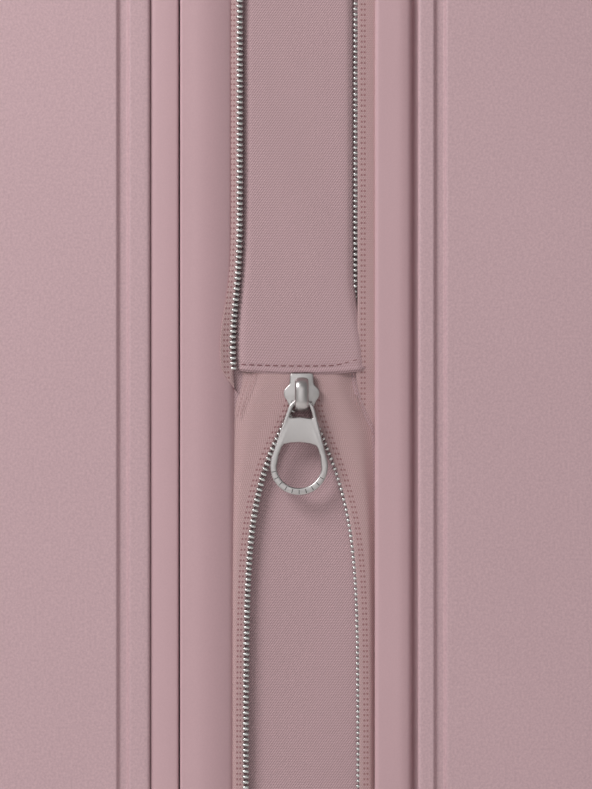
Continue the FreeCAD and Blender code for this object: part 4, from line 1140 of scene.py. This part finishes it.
def swept_bar(name, path, up, width, thick, sides=16):
    """A bar with a rounded flat section carried along an open path of (x, z) points.

    The section is a superellipse: sign(cos) * |cos| ** BAR_POWER across, and the same with
    the sine."""
    path = np.asarray(path, float)
    ahead = np.gradient(path, axis=0)
    ahead /= np.linalg.norm(ahead, axis=1, keepdims=True)
    out = np.stack([-ahead[:, 1], ahead[:, 0]], -1) * up
    a = np.linspace(0, 2 * math.pi, sides, endpoint=False)
    across = np.sign(np.cos(a)) * np.abs(np.cos(a)) ** BAR_POWER * width / 2
    rise = np.sign(np.sin(a)) * np.abs(np.sin(a)) ** BAR_POWER * thick / 2
    flat = path[:, None] + out[:, None] * rise[None, :, None]
    points = np.stack([flat[..., 0], np.broadcast_to(SLIDER_Y + across, flat.shape[:2]),
                       flat[..., 1] + Z_MID], -1)
    rows, columns = points.shape[:2]
    faces = grid_faces(rows, columns, False, True).tolist()
    faces += [list(range(columns)), list(range((rows - 1) * columns, rows * columns))]
    return weld(mesh_object(name, points.reshape(-1, 3), faces), 0.001)


bail_top = SLIDER_HIGH[0] - 1.0
corner_r = 3.0
arch = np.concatenate([
    [(PLATE_X - 0.6, 5.2)],
    arc_points((bail_top - corner_r, 5.2 - corner_r), corner_r, 90, 0, 8),
    arc_points((bail_top - corner_r, -4.9 + corner_r), corner_r, 0, -90, 8),
    [(PLATE_X - 0.6, -4.9)]])
crown = swept_bar("slider_crown", arch, 1, 4.7, 2.0)
post = flat_piece("slider_post", [np.array([(-1, 7), (1, 7), (1, 2.6), (-1, 2.6)])], 2.6, 0.1,
                  SLIDER_LOW[0] + 2.3)
rod = arc_points((0, 0), 0.85, 0, 360, 17)[:-1]
rod_y = np.linspace(-3.6, 3.6, 9)
rod_points = np.stack([np.broadcast_to(PULLER_X + rod[None, :, 0], (9, 16)),
                       np.broadcast_to(SLIDER_Y + rod_y[:, None], (9, 16)),
                       np.broadcast_to(Z_MID - 3.0 + rod[None, :, 1], (9, 16))], -1)
puller_rod = weld(grid_object("puller_rod", rod_points, False, True))
print("slider spans x", SLIDER_LOW[0].round(2), SLIDER_HIGH[0].round(2))

# %% [markdown]
# The ring's lower half carries a row of short sunk marks.  They are plain ticks, whose shade is
# painted as thin dark bars that stand 0.05 mm proud of the metal, spaced evenly round the arc.

# %% Marks on the puller's ring


def tick_marks():
    """Short bars across the ring, each turned to the ring's centre."""
    angles = np.radians(np.arange(-165, -10, 15.5))
    corners = np.array([(-0.75, -0.14), (0.75, -0.14), (0.75, 0.14), (-0.75, 0.14)])
    radial = np.stack([np.cos(angles), np.sin(angles)], -1)
    around_ = np.stack([-np.sin(angles), np.cos(angles)], -1)
    middle = radial * (RING_R + HOLE_R) / 2
    flat = (middle[:, None] + corners[None, :, 0, None] * radial[:, None]
            + corners[None, :, 1, None] * around_[:, None])
    x = PULLER_HIGH[0] + 0.03
    top = np.stack([np.full(flat.shape[:2], x), SLIDER_Y + flat[..., 0],
                    Z_MID + RING_Z + flat[..., 1]], -1)
    low = top - [0.3, 0, 0]
    points = np.concatenate([top, low], axis=1).reshape(-1, 3)
    block = np.array([(0, 1, 2, 3), (7, 6, 5, 4), (0, 4, 5, 1), (1, 5, 6, 2), (2, 6, 7, 3),
                      (3, 7, 4, 0)])
    faces = block[None] + (np.arange(len(angles)) * 8)[:, None, None]
    return mesh_object("puller_ticks", points, faces.reshape(-1, 4), smooth=False)


ticks = weld(tick_marks(), 0.001)

# %% [markdown]
# The castings are tumbled, then plated with satin nickel: a metal with fine short lines, a
# little rougher along some of them.  The puller hangs slightly askew, turned about its rod.

# %% Satin nickel
satin, tree, shader = material("satin_nickel_cast", "#b9b4b3", 0.3, 1.0)
where = add(tree, "ShaderNodeTexCoord").outputs["Object"]
brushed = add(tree, "ShaderNodeMapping", Vector=where, Scale=(900, 900, 260))
grainy = add(tree, "ShaderNodeTexNoise", Vector=brushed.outputs[0], Scale=3.0, Detail=2.0)
rough = add(tree, "ShaderNodeMapRange", Value=grainy.outputs["Fac"], To_Min=0.26, To_Max=0.42)
tree.links.new(rough.outputs[0], shader.inputs["Roughness"])
bump(tree, shader, grainy.outputs["Fac"], 0.015)
# The marks' dark colour is painted shade, standing in for the shade inside each sunk mark.
painted_mark_shade, _, _ = material("sunk_mark", "#4c4a49", 0.5, 0.6)

slider_piece = join("slider_body", [slider_top, slider_under, crown, post])
settle(slider_piece, satin, "zip_metal", "zip_slider", "zip_slider")
PULLER_LEAN = math.radians(-2.4)


def lean(thing):
    """Turns a piece about the puller's rod by PULLER_LEAN, in the plane of the case's side."""
    co = points_of(thing.data)
    y, z = co[:, 1] - SLIDER_Y * MM, co[:, 2] - (Z_MID - 3.0) * MM
    co[:, 1] = SLIDER_Y * MM + y * math.cos(PULLER_LEAN) - z * math.sin(PULLER_LEAN)
    co[:, 2] = (Z_MID - 3.0) * MM + y * math.sin(PULLER_LEAN) + z * math.cos(PULLER_LEAN)
    set_points(thing.data, co)


puller_piece = join("puller_body", [puller, puller_rod])
lean(puller_piece)
lean(ticks)
settle(puller_piece, satin, "zip_metal", "zip_puller", "zip_puller")
settle(ticks, painted_mark_shade, "zip_metal", "zip_puller")
print("puller leans", round(math.degrees(PULLER_LEAN), 1), "degrees")

# %% [markdown]
# Sewn seams are drawn as real stitches: short threads, each lying in a shallow dip, with
# their spacing measured along the seam.  One long array sum makes a whole row.

# %% Stitches
# The hem's thread is darker than the tape seams' thread: painted shade for the dip it lies in.
thread, _, _ = material("sewing_thread_painted_shade", "#7d5357", 0.8)
pale_thread, _, _ = material("sewing_thread", "#a37f80", 0.8)


def stitch_row(name, path, pitch, length, width, look):
    """Threads along a path of (d, y, inset) points, one every pitch mm.

    Each thread is a flattened capsule turned to the path's direction."""
    path = np.asarray(path, float)
    points = place(path[:, 0], path[:, 2], path[:, 1])
    run = np.concatenate([[0], np.cumsum(np.linalg.norm(np.diff(points, axis=0), axis=1))])
    marks = np.arange(pitch / 2, run[-1], pitch)
    centre = np.stack([np.interp(marks, run, points[:, k]) for k in range(3)], -1)
    ahead = np.stack([np.interp(marks + 0.2, run, points[:, k]) for k in range(3)], -1)
    behind = np.stack([np.interp(marks - 0.2, run, points[:, k]) for k in range(3)], -1)
    along = ahead - behind
    along /= np.linalg.norm(along, axis=1, keepdims=True)
    _, flat = outline_at(np.interp(marks, run, path[:, 0]))
    out = np.stack([flat[:, 0], np.zeros(len(marks)), flat[:, 1]], -1)
    across = np.cross(along, out)
    shape, faces = tooth_shape(length, width, width * 0.7)
    return soft(repeated(name, shape, faces, centre, along, across, out), look, "cloth")


share = np.linspace(0.02, 0.97, 60)
rise = 10.8 + 2.2 * smoothstep((share - 0.72) / 0.3) - 0.6 * np.sin(math.pi * share)
across = layer_y(rise, share)
# The hem's stitches take the darker thread, painted shade.
stitch_row("hem_stitches", np.stack([AROUND - rise, across, layer_inset(rise, share) + 0.12], -1),
           2.8, 1.9, 0.42, thread)


def tape_seam(name, knots, look=pale_thread):
    """A row of fine stitches through (d, rel) knots on the lower tapes."""
    knots = np.asarray(knots, float)
    t = np.linspace(0, 1, 60)
    at = np.linspace(0, 1, len(knots))
    d = np.interp(t, at, knots[:, 0])
    rel = np.interp(t, at, knots[:, 1])
    return stitch_row(name, np.stack([d, GUSSET_MIDDLE + rel, np.full(60, TAPE_INSET + 0.12)], -1),
                      1.5, 1.0, 0.3, look)


tape_seam("front_seam_outer", [(-8, -19.7), (-2, -21.6), (4, -23.4), (8, -24.2)])
tape_seam("front_seam_inner", [(-8, -17.2), (-2, -19.4), (3, -21.6), (8, -23.4)])
tape_seam("rear_seam_inner", [(-8, 15.4), (-2, 16.4), (5, 18.6), (9, 20.6), (14, 23.6)])
tape_seam("rear_seam_outer", [(-8, 16.7), (-2, 17.5), (5, 19.9), (8.5, 21.9), (12, 23.9)])
print("stitches are sewn")

# %% [markdown]
# The small hard parts, such as handles, lugs, latches and caster housings, already have
# their right shapes in the frame.  Each is copied, its loose triangles are merged and its
# flat faces joined, and a Bevel gives every edge the small radius of a moulding or a pressing,
# so that it catches the light.

# %% Copies with softened edges


def softened(node, body, look, slot_name, edge_mm):
    """A copy of a frame node whose sharp edges are rounded by edge_mm."""
    source = frame["nodes"][node].data
    thing = mesh_object(node + "_finished", points_of(source) / MM,
                        corners_of(source).reshape(-1, 3))
    work = bmesh.new()
    work.from_mesh(thing.data)
    bmesh.ops.remove_doubles(work, verts=work.verts, dist=0.004 * MM)
    bmesh.ops.dissolve_limit(work, angle_limit=math.radians(1.0), verts=work.verts,
                             edges=work.edges)
    work.to_mesh(thing.data)
    work.free()
    edge = thing.modifiers.new("edge", "BEVEL")
    edge.width = edge_mm * MM
    edge.segments = 3
    edge.limit_method = "ANGLE"
    edge.angle_limit = math.radians(35)
    edge.harden_normals = True
    return settle(thing, look, slot_name, body, node)


# %% [markdown]
# Handles, feet and housings are ABS in a darker rose, moulded with a finer grain than the
# shell.  Forks, buckle and buttons are glass-filled nylon, which is nearly black and a
# little rougher.  Both use the shell's recipe with their own grain.

# %% Moulded trim
trim_plastic = moulded("abs_satin_moulded", "#9e8085", 0.35, 0.02, 0.40, 0.05)
nylon = moulded("glass_filled_nylon", "#2c2b2d", 0.30, 0.03, 0.45, 0.12)
hub_plastic = moulded("abs_wheel_moulding", "#8f757a", 0.35, 0.015, 0.36, 0.05)
rubber = moulded("thermoplastic_rubber", "#222223", 0.28, 0.04, 0.68, 0.14)
dial_plastic = moulded("abs_polished_dial", "#3a393c", 0.30, 0.006, 0.24, 0.04)

print("trim materials are ready")

# %% [markdown]
# Trolley tubes are aluminium, drawn through a die and anodised: the fine lines run along the
# tube.  Latches, hinges and axles are brushed steel, with short lines along their length.
# One stretched noise gives both, as roughness and as a very shallow bump.

# %% Brushed metals


def brushed(name, base, roughness, stretch, line_mm):
    """A metal with fine lines: noise squeezed across them and drawn out along them."""
    made, tree, shader = material(name, base, roughness, 1.0)
    place_in = add(tree, "ShaderNodeTexCoord").outputs["Object"]
    drawn = add(tree, "ShaderNodeMapping", Vector=place_in, Scale=stretch)
    lines = add(tree, "ShaderNodeTexNoise", Vector=drawn.outputs[0], Scale=1000 / (2 * line_mm),
                Detail=3.0, Roughness=0.6)
    gloss = add(tree, "ShaderNodeMapRange", Value=lines.outputs["Fac"], From_Min=0.3,
                From_Max=0.7, To_Min=roughness - 0.07, To_Max=roughness + 0.09)
    tree.links.new(gloss.outputs[0], shader.inputs["Roughness"])
    bump(tree, shader, lines.outputs["Fac"], 0.012)
    return made


anodised = brushed("aluminium_anodised_drawn", "#c4c4c8", 0.32, (1, 1, 0.02), 0.25)
brushed_steel = brushed("steel_brushed", "#bcbbbd", 0.30, (1, 1, 0.04), 0.30)

# %% [markdown]
# Each row of this table names a part of the frame, the body it moves with, its finish and the
# width of its softened edge: 1.5 mm on a handle that is gripped, 0.25 mm on sheet steel.

# %% The hard parts
for part_name, body_name, look, slot_name, edge_mm in [
        ("top_handle", "top_handle", trim_plastic, "trim", 1.5),
        ("side_handle", "side_handle", trim_plastic, "trim", 1.5),
        ("top_handle_lugs", "rear_case", trim_plastic, "trim", 0.8),
        ("side_handle_lugs", "rear_case", trim_plastic, "trim", 0.8),
        ("rear_feet", "rear_case", trim_plastic, "trim", 1.2),
        ("lid_feet", "lid", trim_plastic, "trim", 1.2),
        ("trolley_bezel", "rear_case", trim_plastic, "trim", 0.8),
        ("trolley_grip", "trolley_stage_2", trim_plastic, "trim", 1.0),
        ("trolley_button", "trolley_button", nylon, "dark_plastic", 0.6),
        ("trolley_outer_tubes", "rear_case", anodised, "alloy", 0.5),
        ("trolley_middle_tubes", "trolley_stage_1", anodised, "alloy", 0.5),
        ("trolley_inner_tubes", "trolley_stage_2", anodised, "alloy", 0.5),
        ("hinge_leaves_frame", "mid_frame", brushed_steel, "steel", 0.25),
        ("hinge_leaves_lid", "lid", brushed_steel, "steel", 0.25),
        ("latch_bases", "mid_frame", brushed_steel, "steel", 0.4),
        ("latch_keepers", "lid", brushed_steel, "steel", 0.4),
        ("latch_lever_upper", "upper_latch", brushed_steel, "steel", 0.5),
        ("latch_lever_lower", "lower_latch", brushed_steel, "steel", 0.5),
        ("lock_plate", "lid", trim_plastic, "trim", 0.7),
        ("lock_button", "lock_button", nylon, "dark_plastic", 0.4)]:
    softened(part_name, body_name, look, slot_name, edge_mm)

CASTERS = ["caster_%s_%s" % (end, side) for end in ("front", "rear")
           for side in ("left", "right")]
WHEEL_HALF = 5.5
for caster in CASTERS:
    holder = "lid" if "front" in caster else "rear_case"
    softened(caster + "_housing", holder, trim_plastic, "trim", 1.2)
    softened(caster + "_fork", caster + "_swivel", nylon, "dark_plastic", 0.8)
    softened(caster + "_axle", caster + "_wheels", brushed_steel, "steel", 0.3)
print("hard parts have their edges")

# %% [markdown]
# Each caster carries two wheels: an ABS hub with five hollow pockets between its spokes, and
# a rubber tyre with rounded shoulders.  Both are turned surfaces, where the hub's face also
# changes with the angle.

# %% Wheels


def turned(name, centre, radius, side, axis=0, count=96):
    """A surface of revolution from radius (angles, k) and side (angles, k) arrays."""
    angle = np.linspace(0, 2 * math.pi, count, endpoint=False)[:, None]
    radius, side = np.broadcast_arrays(np.asarray(radius, float), np.asarray(side, float))
    c, s = radius * np.cos(angle), radius * np.sin(angle)
    parts = [side, c, s] if axis == 0 else [c, s, side]
    points = np.stack([np.broadcast_to(p, (count, radius.shape[-1])) for p in parts], -1)
    return weld(grid_object(name, points + np.asarray(centre, float), True, True), 0.002)


def tyre_section():
    """The tyre's closed section: the bore, two rounded shoulders and a slightly crowned tread."""
    half = np.array([(21.0, 5.2), (23.2, WHEEL_HALF), (24.3, 5.1), (24.85, 4.0), (25.0, 2.2),
                     (25.0, 0.0)])
    whole = np.concatenate([half, (half[:-1] * [1, -1])[::-1]])
    return whole[:, 0], whole[:, 1]


def hub_face(radius, angle):
    """Half width of the hub: a boss, a dished web with five pockets, and a flat rim."""
    boss = smoothstep((7.6 - radius) / 1.4)
    rim = smoothstep((radius - 17.6) / 1.2)
    spokes = 0.5 + 0.5 * np.cos(5 * angle)
    open_web = smoothstep((radius - 8.4) / 1.2) * smoothstep((17.0 - radius) / 1.2)
    pocket = open_web * smoothstep((0.62 - spokes) / 0.3)
    return 3.4 + 1.9 * boss + 1.7 * rim - 1.9 * pocket


radii = np.concatenate([[0.02], np.linspace(2.6, 20.4, 30), [20.9]])
angle = np.linspace(0, 2 * math.pi, 96, endpoint=False)[:, None]
face = hub_face(radii[None, :], angle)
hub_radius = np.concatenate([radii, radii[::-1]])[None, :]
hub_side = np.concatenate([face, -face[:, ::-1]], axis=1)
tyre_radius, tyre_side = tyre_section()
for caster in CASTERS:
    low, high = extent(caster + "_hubs")
    _, middle_y, middle_z = (low + high) / 2
    # the two wheels of a caster stand side by side along the axle, across the case
    middles = [(x, middle_y, middle_z) for x in (low[0] + WHEEL_HALF, high[0] - WHEEL_HALF)]
    hub_pieces = [turned(caster + "_hub", at, hub_radius, hub_side) for at in middles]
    tyre_pieces = [turned(caster + "_tyre", at, tyre_radius, tyre_side) for at in middles]
    settle(join(caster + "_hub_pair", hub_pieces), hub_plastic, "wheel_hub",
           caster + "_wheels", caster + "_hubs")
    settle(join(caster + "_tyre_pair", tyre_pieces), rubber, "tyre",
           caster + "_wheels", caster + "_tyres")
print("eight wheels turned")

# %% [markdown]
# The three dials of the lock are small polished discs with a ridged rim for the thumb.  The
# radius dips by a quarter of a millimetre twenty times round.

# %% Lock dials
angle = np.linspace(0, 2 * math.pi, 160, endpoint=False)[:, None]
ridge = 0.28 * (0.5 - 0.5 * np.cos(20 * angle)) ** 2
half = np.array([(1.45, 2.45), (3.3, 2.45), (3.95, 2.2), (4.2, 1.7), (4.2, 0.0)])
section = np.concatenate([half, (half[:-1] * [1, -1])[::-1]])
edge_share = smoothstep((section[None, :, 0] - 3.2) / 0.8)
for k in (1, 2, 3):
    low, high = extent("lock_dial_%d" % k)
    dial_piece = turned("lock_dial_%d_ridged" % k, (low + high) / 2,
                        section[None, :, 0] - ridge * edge_share,
                        np.broadcast_to(section[None, :, 1], (160, len(section))), 2, 160)
    settle(dial_piece, dial_plastic, "dial", "lock_dial_%d" % k, "lock_dial_%d" % k)

# %% [markdown]
# Inside, both halves are lined with thin polyester.  Each lining is a tray: its walls follow
# the outline, it turns into the floor, and the floor's rings shrink to the middle.  The cloth
# is stuck down only at its edge, so it stands off in low, slow waves.

# %% Linings


def box_uv(thing):
    """UV in millimetres: every face is laid flat on the plane that it faces most."""
    mesh = thing.data
    normal = np.empty(len(mesh.polygons) * 3)
    mesh.polygons.foreach_get("normal", normal)
    total = np.empty(len(mesh.polygons), int)
    mesh.polygons.foreach_get("loop_total", total)
    facing = np.repeat(np.abs(normal.reshape(-1, 3)).argmax(1), total)
    co = points_of(mesh)[corners_of(mesh)] / MM
    kept = np.array([(1, 2), (0, 2), (0, 1)])[facing]
    layer = mesh.uv_layers.new(name="UVMap")
    layer.data.foreach_set("uv", np.take_along_axis(co, kept, 1).ravel())
    return thing


def tray(name, node, open_end, turn_radius):
    """A lining: (stations, profile) points, outside going in and inside coming back.

    Along the profile the cloth runs down the wall, round an arc and across the floor, where
    each ring is the outline shrunk towards the middle by a share from 1 to 0."""
    low, high = extent(node)
    edge, floor_y = (high[1], low[1]) if open_end > 0 else (low[1], high[1])
    way = np.sign(floor_y - edge)
    deep = abs(floor_y - edge)
    inset = HALF_W - high[0]
    d = stations(12.0, 20)

    def skin(sunk):
        r = turn_radius - sunk
        wall = np.stack([np.full(12, inset + sunk), np.linspace(0, deep - turn_radius, 12)], -1)
        bend = arc_points((inset + turn_radius, deep - turn_radius), r, 180, 90, 9)[1:]
        profile = np.concatenate([wall, bend, np.repeat(bend[-1:], 26, axis=0)])
        shrink = np.concatenate([np.ones(20), np.linspace(1, 0, 27)[1:]])
        flat = place(d[:, None], profile[None, :, 0], edge + way * profile[None, :, 1])
        middle = np.array([0, 0, Z_MID])
        flat = middle + (flat - middle) * np.stack([shrink, np.ones(46), shrink], -1)
        loose = smoothstep((profile[:, 1] - 6) / 20)
        across, up_ = flat[..., 0], flat[..., 2] - Z_MID
        wave = 0.35 * (1 + np.sin(across / 31 + 1.3 * np.sin(up_ / 47)) * np.sin(up_ / 39 + 0.7))
        wave = wave + 0.2 * (1 + np.sin(across / 13 + up_ / 17))
        centre_way = middle - flat
        centre_way[..., 1] = 0
        centre_way /= np.maximum(np.linalg.norm(centre_way, axis=-1, keepdims=True), 1e-6)
        share_floor = np.concatenate([np.zeros(12), np.linspace(0, 1, 8), np.ones(26)])[None, :]
        lift = wave * loose[None, :]
        flat = flat + centre_way * (lift * (1 - share_floor))[..., None]
        flat[..., 1] = flat[..., 1] - way * lift * share_floor
        return flat

    points = np.concatenate([skin(0.0), skin(1.0)[:, ::-1]], axis=1)
    thing = weld(grid_object(name, points, True, True), 0.002)
    return box_uv(thing)


lining_cloth = woven("polyester_lining_plain_weave", "#57545c", "#66636c", "#434149", 0.8, 0, 0.8,
                     0.7)
lid_inside = tray("lid_lining_cloth", "lid_lining", 1, 27.4)
rear_inside = tray("rear_lining_cloth", "rear_lining", -1, 27.4)
for thing, node, body, shell in ((lid_inside, "lid_lining", "lid", "lid_shell"),
                                 (rear_inside, "rear_lining", "rear_case", "rear_shell")):
    settle(thing, lining_cloth, "lining", body, node)
    low, high = extent(node)
    wide, tall, deep = high[0] - low[0], high[2] - low[2], high[1] - low[1]
print("linings cut")

# %% [markdown]
# Two webbing straps cross over the packing space, sewn down at their ends and held by a
# buckle in the middle.  Webbing is woven thick, with ribs across it and a flat band along
# each edge.  Each strap is a strip that lifts a little off the lining between its ends, and
# the second one climbs over the first.

# %% Packing straps
webbing = woven("polyester_webbing", "#6b5c63", "#7b6b72", "#51454b", 1.3, 90, 1.6, 0.8)
STRAP_LOW, STRAP_HIGH = extent("packing_straps")
BUCKLE_LOW, BUCKLE_HIGH = extent("strap_buckle")
STRAP_WIDE, STRAP_THICK, STRAP_TURN = 25.0, 1.2, math.radians(28)
STRAP_LONG = STRAP_HIGH[2] - STRAP_LOW[2] - STRAP_WIDE * math.sin(STRAP_TURN)
STRAP_LONG = STRAP_LONG / math.cos(STRAP_TURN)


def strap(name, side, over):
    """A strap along t and across a; its height is over * bell(t) plus a low arch."""
    t = np.linspace(-1, 1, 81) * STRAP_LONG / 2
    a = np.array([-0.5, -0.47, -0.3, 0, 0.3, 0.47, 0.5]) * STRAP_WIDE
    T, A = np.meshgrid(t, a, indexing="ij")
    thin = np.where(np.abs(A) > STRAP_WIDE * 0.49, 0.35, 0.5) * STRAP_THICK
    rise = over * np.exp(-((T / 42) ** 2)) + 1.6 * (1 - (2 * T / STRAP_LONG) ** 2) ** 2
    rise = rise + 0.25 * np.sin(T / 23) * np.cos(A / 9)
    level = (STRAP_LOW[1] + STRAP_HIGH[1]) / 2 - rise
    x = T * math.sin(STRAP_TURN) * side + A * math.cos(STRAP_TURN)
    z = Z_MID + T * math.cos(STRAP_TURN) - A * math.sin(STRAP_TURN) * side
    front = np.stack([x, level - thin, z], -1)
    back = np.stack([x, level + thin, z], -1)
    points = np.concatenate([front, back[:, ::-1]], axis=1)
    uv = np.concatenate([np.stack([A, T], -1), np.stack([A, T], -1)[:, ::-1]], axis=1)
    return weld(grid_object(name, points, False, True, uv=uv), 0.001, close=True)


straps = join("packing_straps_webbing", [strap("strap_a", 1, 0.0), strap("strap_b", -1, 1.3)])
settle(straps, webbing, "strap", "rear_case", "packing_straps")

# %% [markdown]
# The buckle is a side release one.  Its waisted body is a plate drawn as a curve, like the
# zipper's slider, with two slots for the straps and two windows for the sprung arms; it is
# drawn in the side's plane first and then turned to face the packing space.

# %% Strap buckle
wide, tall = BUCKLE_HIGH[0] - BUCKLE_LOW[0], BUCKLE_HIGH[2] - BUCKLE_LOW[2]
thick = BUCKLE_HIGH[1] - BUCKLE_LOW[1]
body_outline = smooth_outline(np.array([
    (0.5, 0.36), (0.5, -0.36), (0.44, -0.5), (0.2, -0.44), (0, -0.42), (-0.2, -0.44),
    (-0.44, -0.5), (-0.5, -0.36), (-0.5, 0.36), (-0.44, 0.5), (-0.2, 0.44), (0, 0.42),
    (0.2, 0.44), (0.44, 0.5)]) * [wide, tall], 2)
slots = [smooth_outline(np.array([(0.06, 0.27), (0.06, -0.27), (-0.04, -0.27), (-0.04, 0.27)])
                        * [wide, tall] + [at * wide, 0], 2) for at in (0.4, -0.4)]
windows = [smooth_outline(np.array([(0.17, 0.05), (0.17, -0.05), (-0.17, -0.05), (-0.17, 0.05)])
                          * [wide, tall] + [0, at * tall], 2) for at in (0.27, -0.27)]
buckle_body = flat_piece("buckle_body", [body_outline] + slots + windows, thick - 1.5, 0.8, 0.0)
tongue_outline = smooth_outline(np.array([(0.24, 0.13), (0.24, -0.13), (-0.24, -0.13),
                                          (-0.24, 0.13)]) * [wide, tall], 2)
buckle_tongue = flat_piece("buckle_tongue", [tongue_outline], thick - 0.2, 0.6, 0.0)
buckle = join("strap_buckle_plates", [buckle_body, buckle_tongue])
co = points_of(buckle.data)
faced = np.stack([SLIDER_Y * MM - co[:, 1], co[:, 0] + (BUCKLE_LOW[1] + BUCKLE_HIGH[1]) / 2 * MM
                  - 1.7 * MM, co[:, 2]], -1)
set_points(buckle.data, faced)
weld(buckle, 0.001)
settle(buckle, nylon, "dark_plastic", "rear_case", "strap_buckle")

# %% [markdown]
# The lid has one flat pocket.  Its cloth is a little fuller than its outline, so it crowns,
# and the elastic in its top edge gathers it into small pleats that die away downwards.

# %% Lid pocket
POCKET_LOW, POCKET_HIGH = extent("lid_pocket")


def pocket_cloth():
    """Height over the lid's floor: a crown, pleats below the top edge, and a bead on it."""
    u, v = np.meshgrid(np.linspace(0, 1, 181), np.linspace(0, 1, 71), indexing="ij")
    wide = POCKET_HIGH[0] - POCKET_LOW[0]
    tall = POCKET_HIGH[2] - POCKET_LOW[2]
    edge = np.minimum(np.minimum(u, 1 - u) * wide, np.minimum(v, 1 - v + 0.02) * tall)
    plump = smoothstep(edge / 9.0)
    below = (1 - v) * tall
    pleats = 0.7 * np.sin(u * wide / 2.6 + 0.6 * np.sin(u * 31)) * np.exp(-below / 24.0)
    bead = 0.9 * np.exp(-(((below - 5) / 4.0) ** 2))
    crown = 1.0 + 1.4 * np.sin(math.pi * u) ** 0.6 * np.sin(math.pi * (0.15 + 0.8 * v)) ** 0.6
    height = 0.5 + (crown + pleats + bead) * plump
    x = POCKET_LOW[0] + u * wide
    z = POCKET_LOW[2] + v * tall
    front = np.stack([x, POCKET_LOW[1] + height, z], -1)
    back = np.stack([x, POCKET_LOW[1] + np.maximum(height - 0.8, 0.05), z], -1)
    points = np.concatenate([front, back[:, ::-1]], axis=1)
    return box_uv(weld(grid_object("lid_pocket_cloth", points, False, True), 0.001, close=True))


pocket = settle(pocket_cloth(), lining_cloth, "lining", "lid", "lid_pocket")
print("straps, buckle and pocket are in")

# %% [markdown]
# The camera looks straight at the hinge side through a long lens, close enough that the
# gusset's zipper fills the view.  A large soft light stands on the lid's side and above.

# %% Camera and light
VIEW_HEIGHT = 276.0
LENS = 210.0
SENSOR = 36.0
camera_data = bpy.data.cameras.new("camera")
camera_data.lens = LENS
camera_data.clip_end = 100
camera = bpy.data.objects.new("camera", camera_data)
scene.collection.objects.link(camera)
distance = LENS / SENSOR * VIEW_HEIGHT
camera.location = ((HALF_W + distance) * MM, (GUSSET_MIDDLE - 3.5) * MM, (Z_MID + 0.2) * MM)
camera.rotation_euler = (math.radians(90), 0, math.radians(90))
scene.camera = camera


def area_light(name, place_mm, target_mm, size, power, tint="#ffffff"):
    """A square soft light at a place, facing a target."""
    data = bpy.data.lights.new(name, "AREA")
    data.size = size
    data.energy = power
    data.color = colour(tint)[:3]
    thing = bpy.data.objects.new(name, data)
    thing.location = np.array(place_mm) * MM
    aim = Vector(target_mm) - Vector(place_mm)
    thing.rotation_euler = aim.to_track_quat("-Z", "Y").to_euler()
    scene.collection.objects.link(thing)


middle = (HALF_W, 0, Z_MID)
area_light("key", (1020, -800, 1160), middle, 0.6, 15.5)
area_light("card", (2900, -350, 620), middle, 1.4, 7.0)
area_light("front_fill", (-600, -1800, 900), (0, 0, Z_MID), 1.5, 30)
area_light("back_fill", (-1200, 1500, 900), (0, 0, Z_MID), 1.5, 30)
world = bpy.data.worlds.new("studio")
world.use_nodes = True
world.node_tree.nodes["Background"].inputs["Color"].default_value = colour("#ffffff")
world.node_tree.nodes["Background"].inputs["Strength"].default_value = 0.24
scene.world = world
scene.view_settings.view_transform = "Standard"

floor = mesh_object("floor", np.array([(-4000, -4000, 0), (4000, -4000, 0), (4000, 4000, 0),
                                       (-4000, 4000, 0)]), [(0, 1, 2, 3)], smooth=False)
floor_paint, _, _ = material("pale_floor", "#e9e7e5", 0.7)
dress(floor, floor_paint)
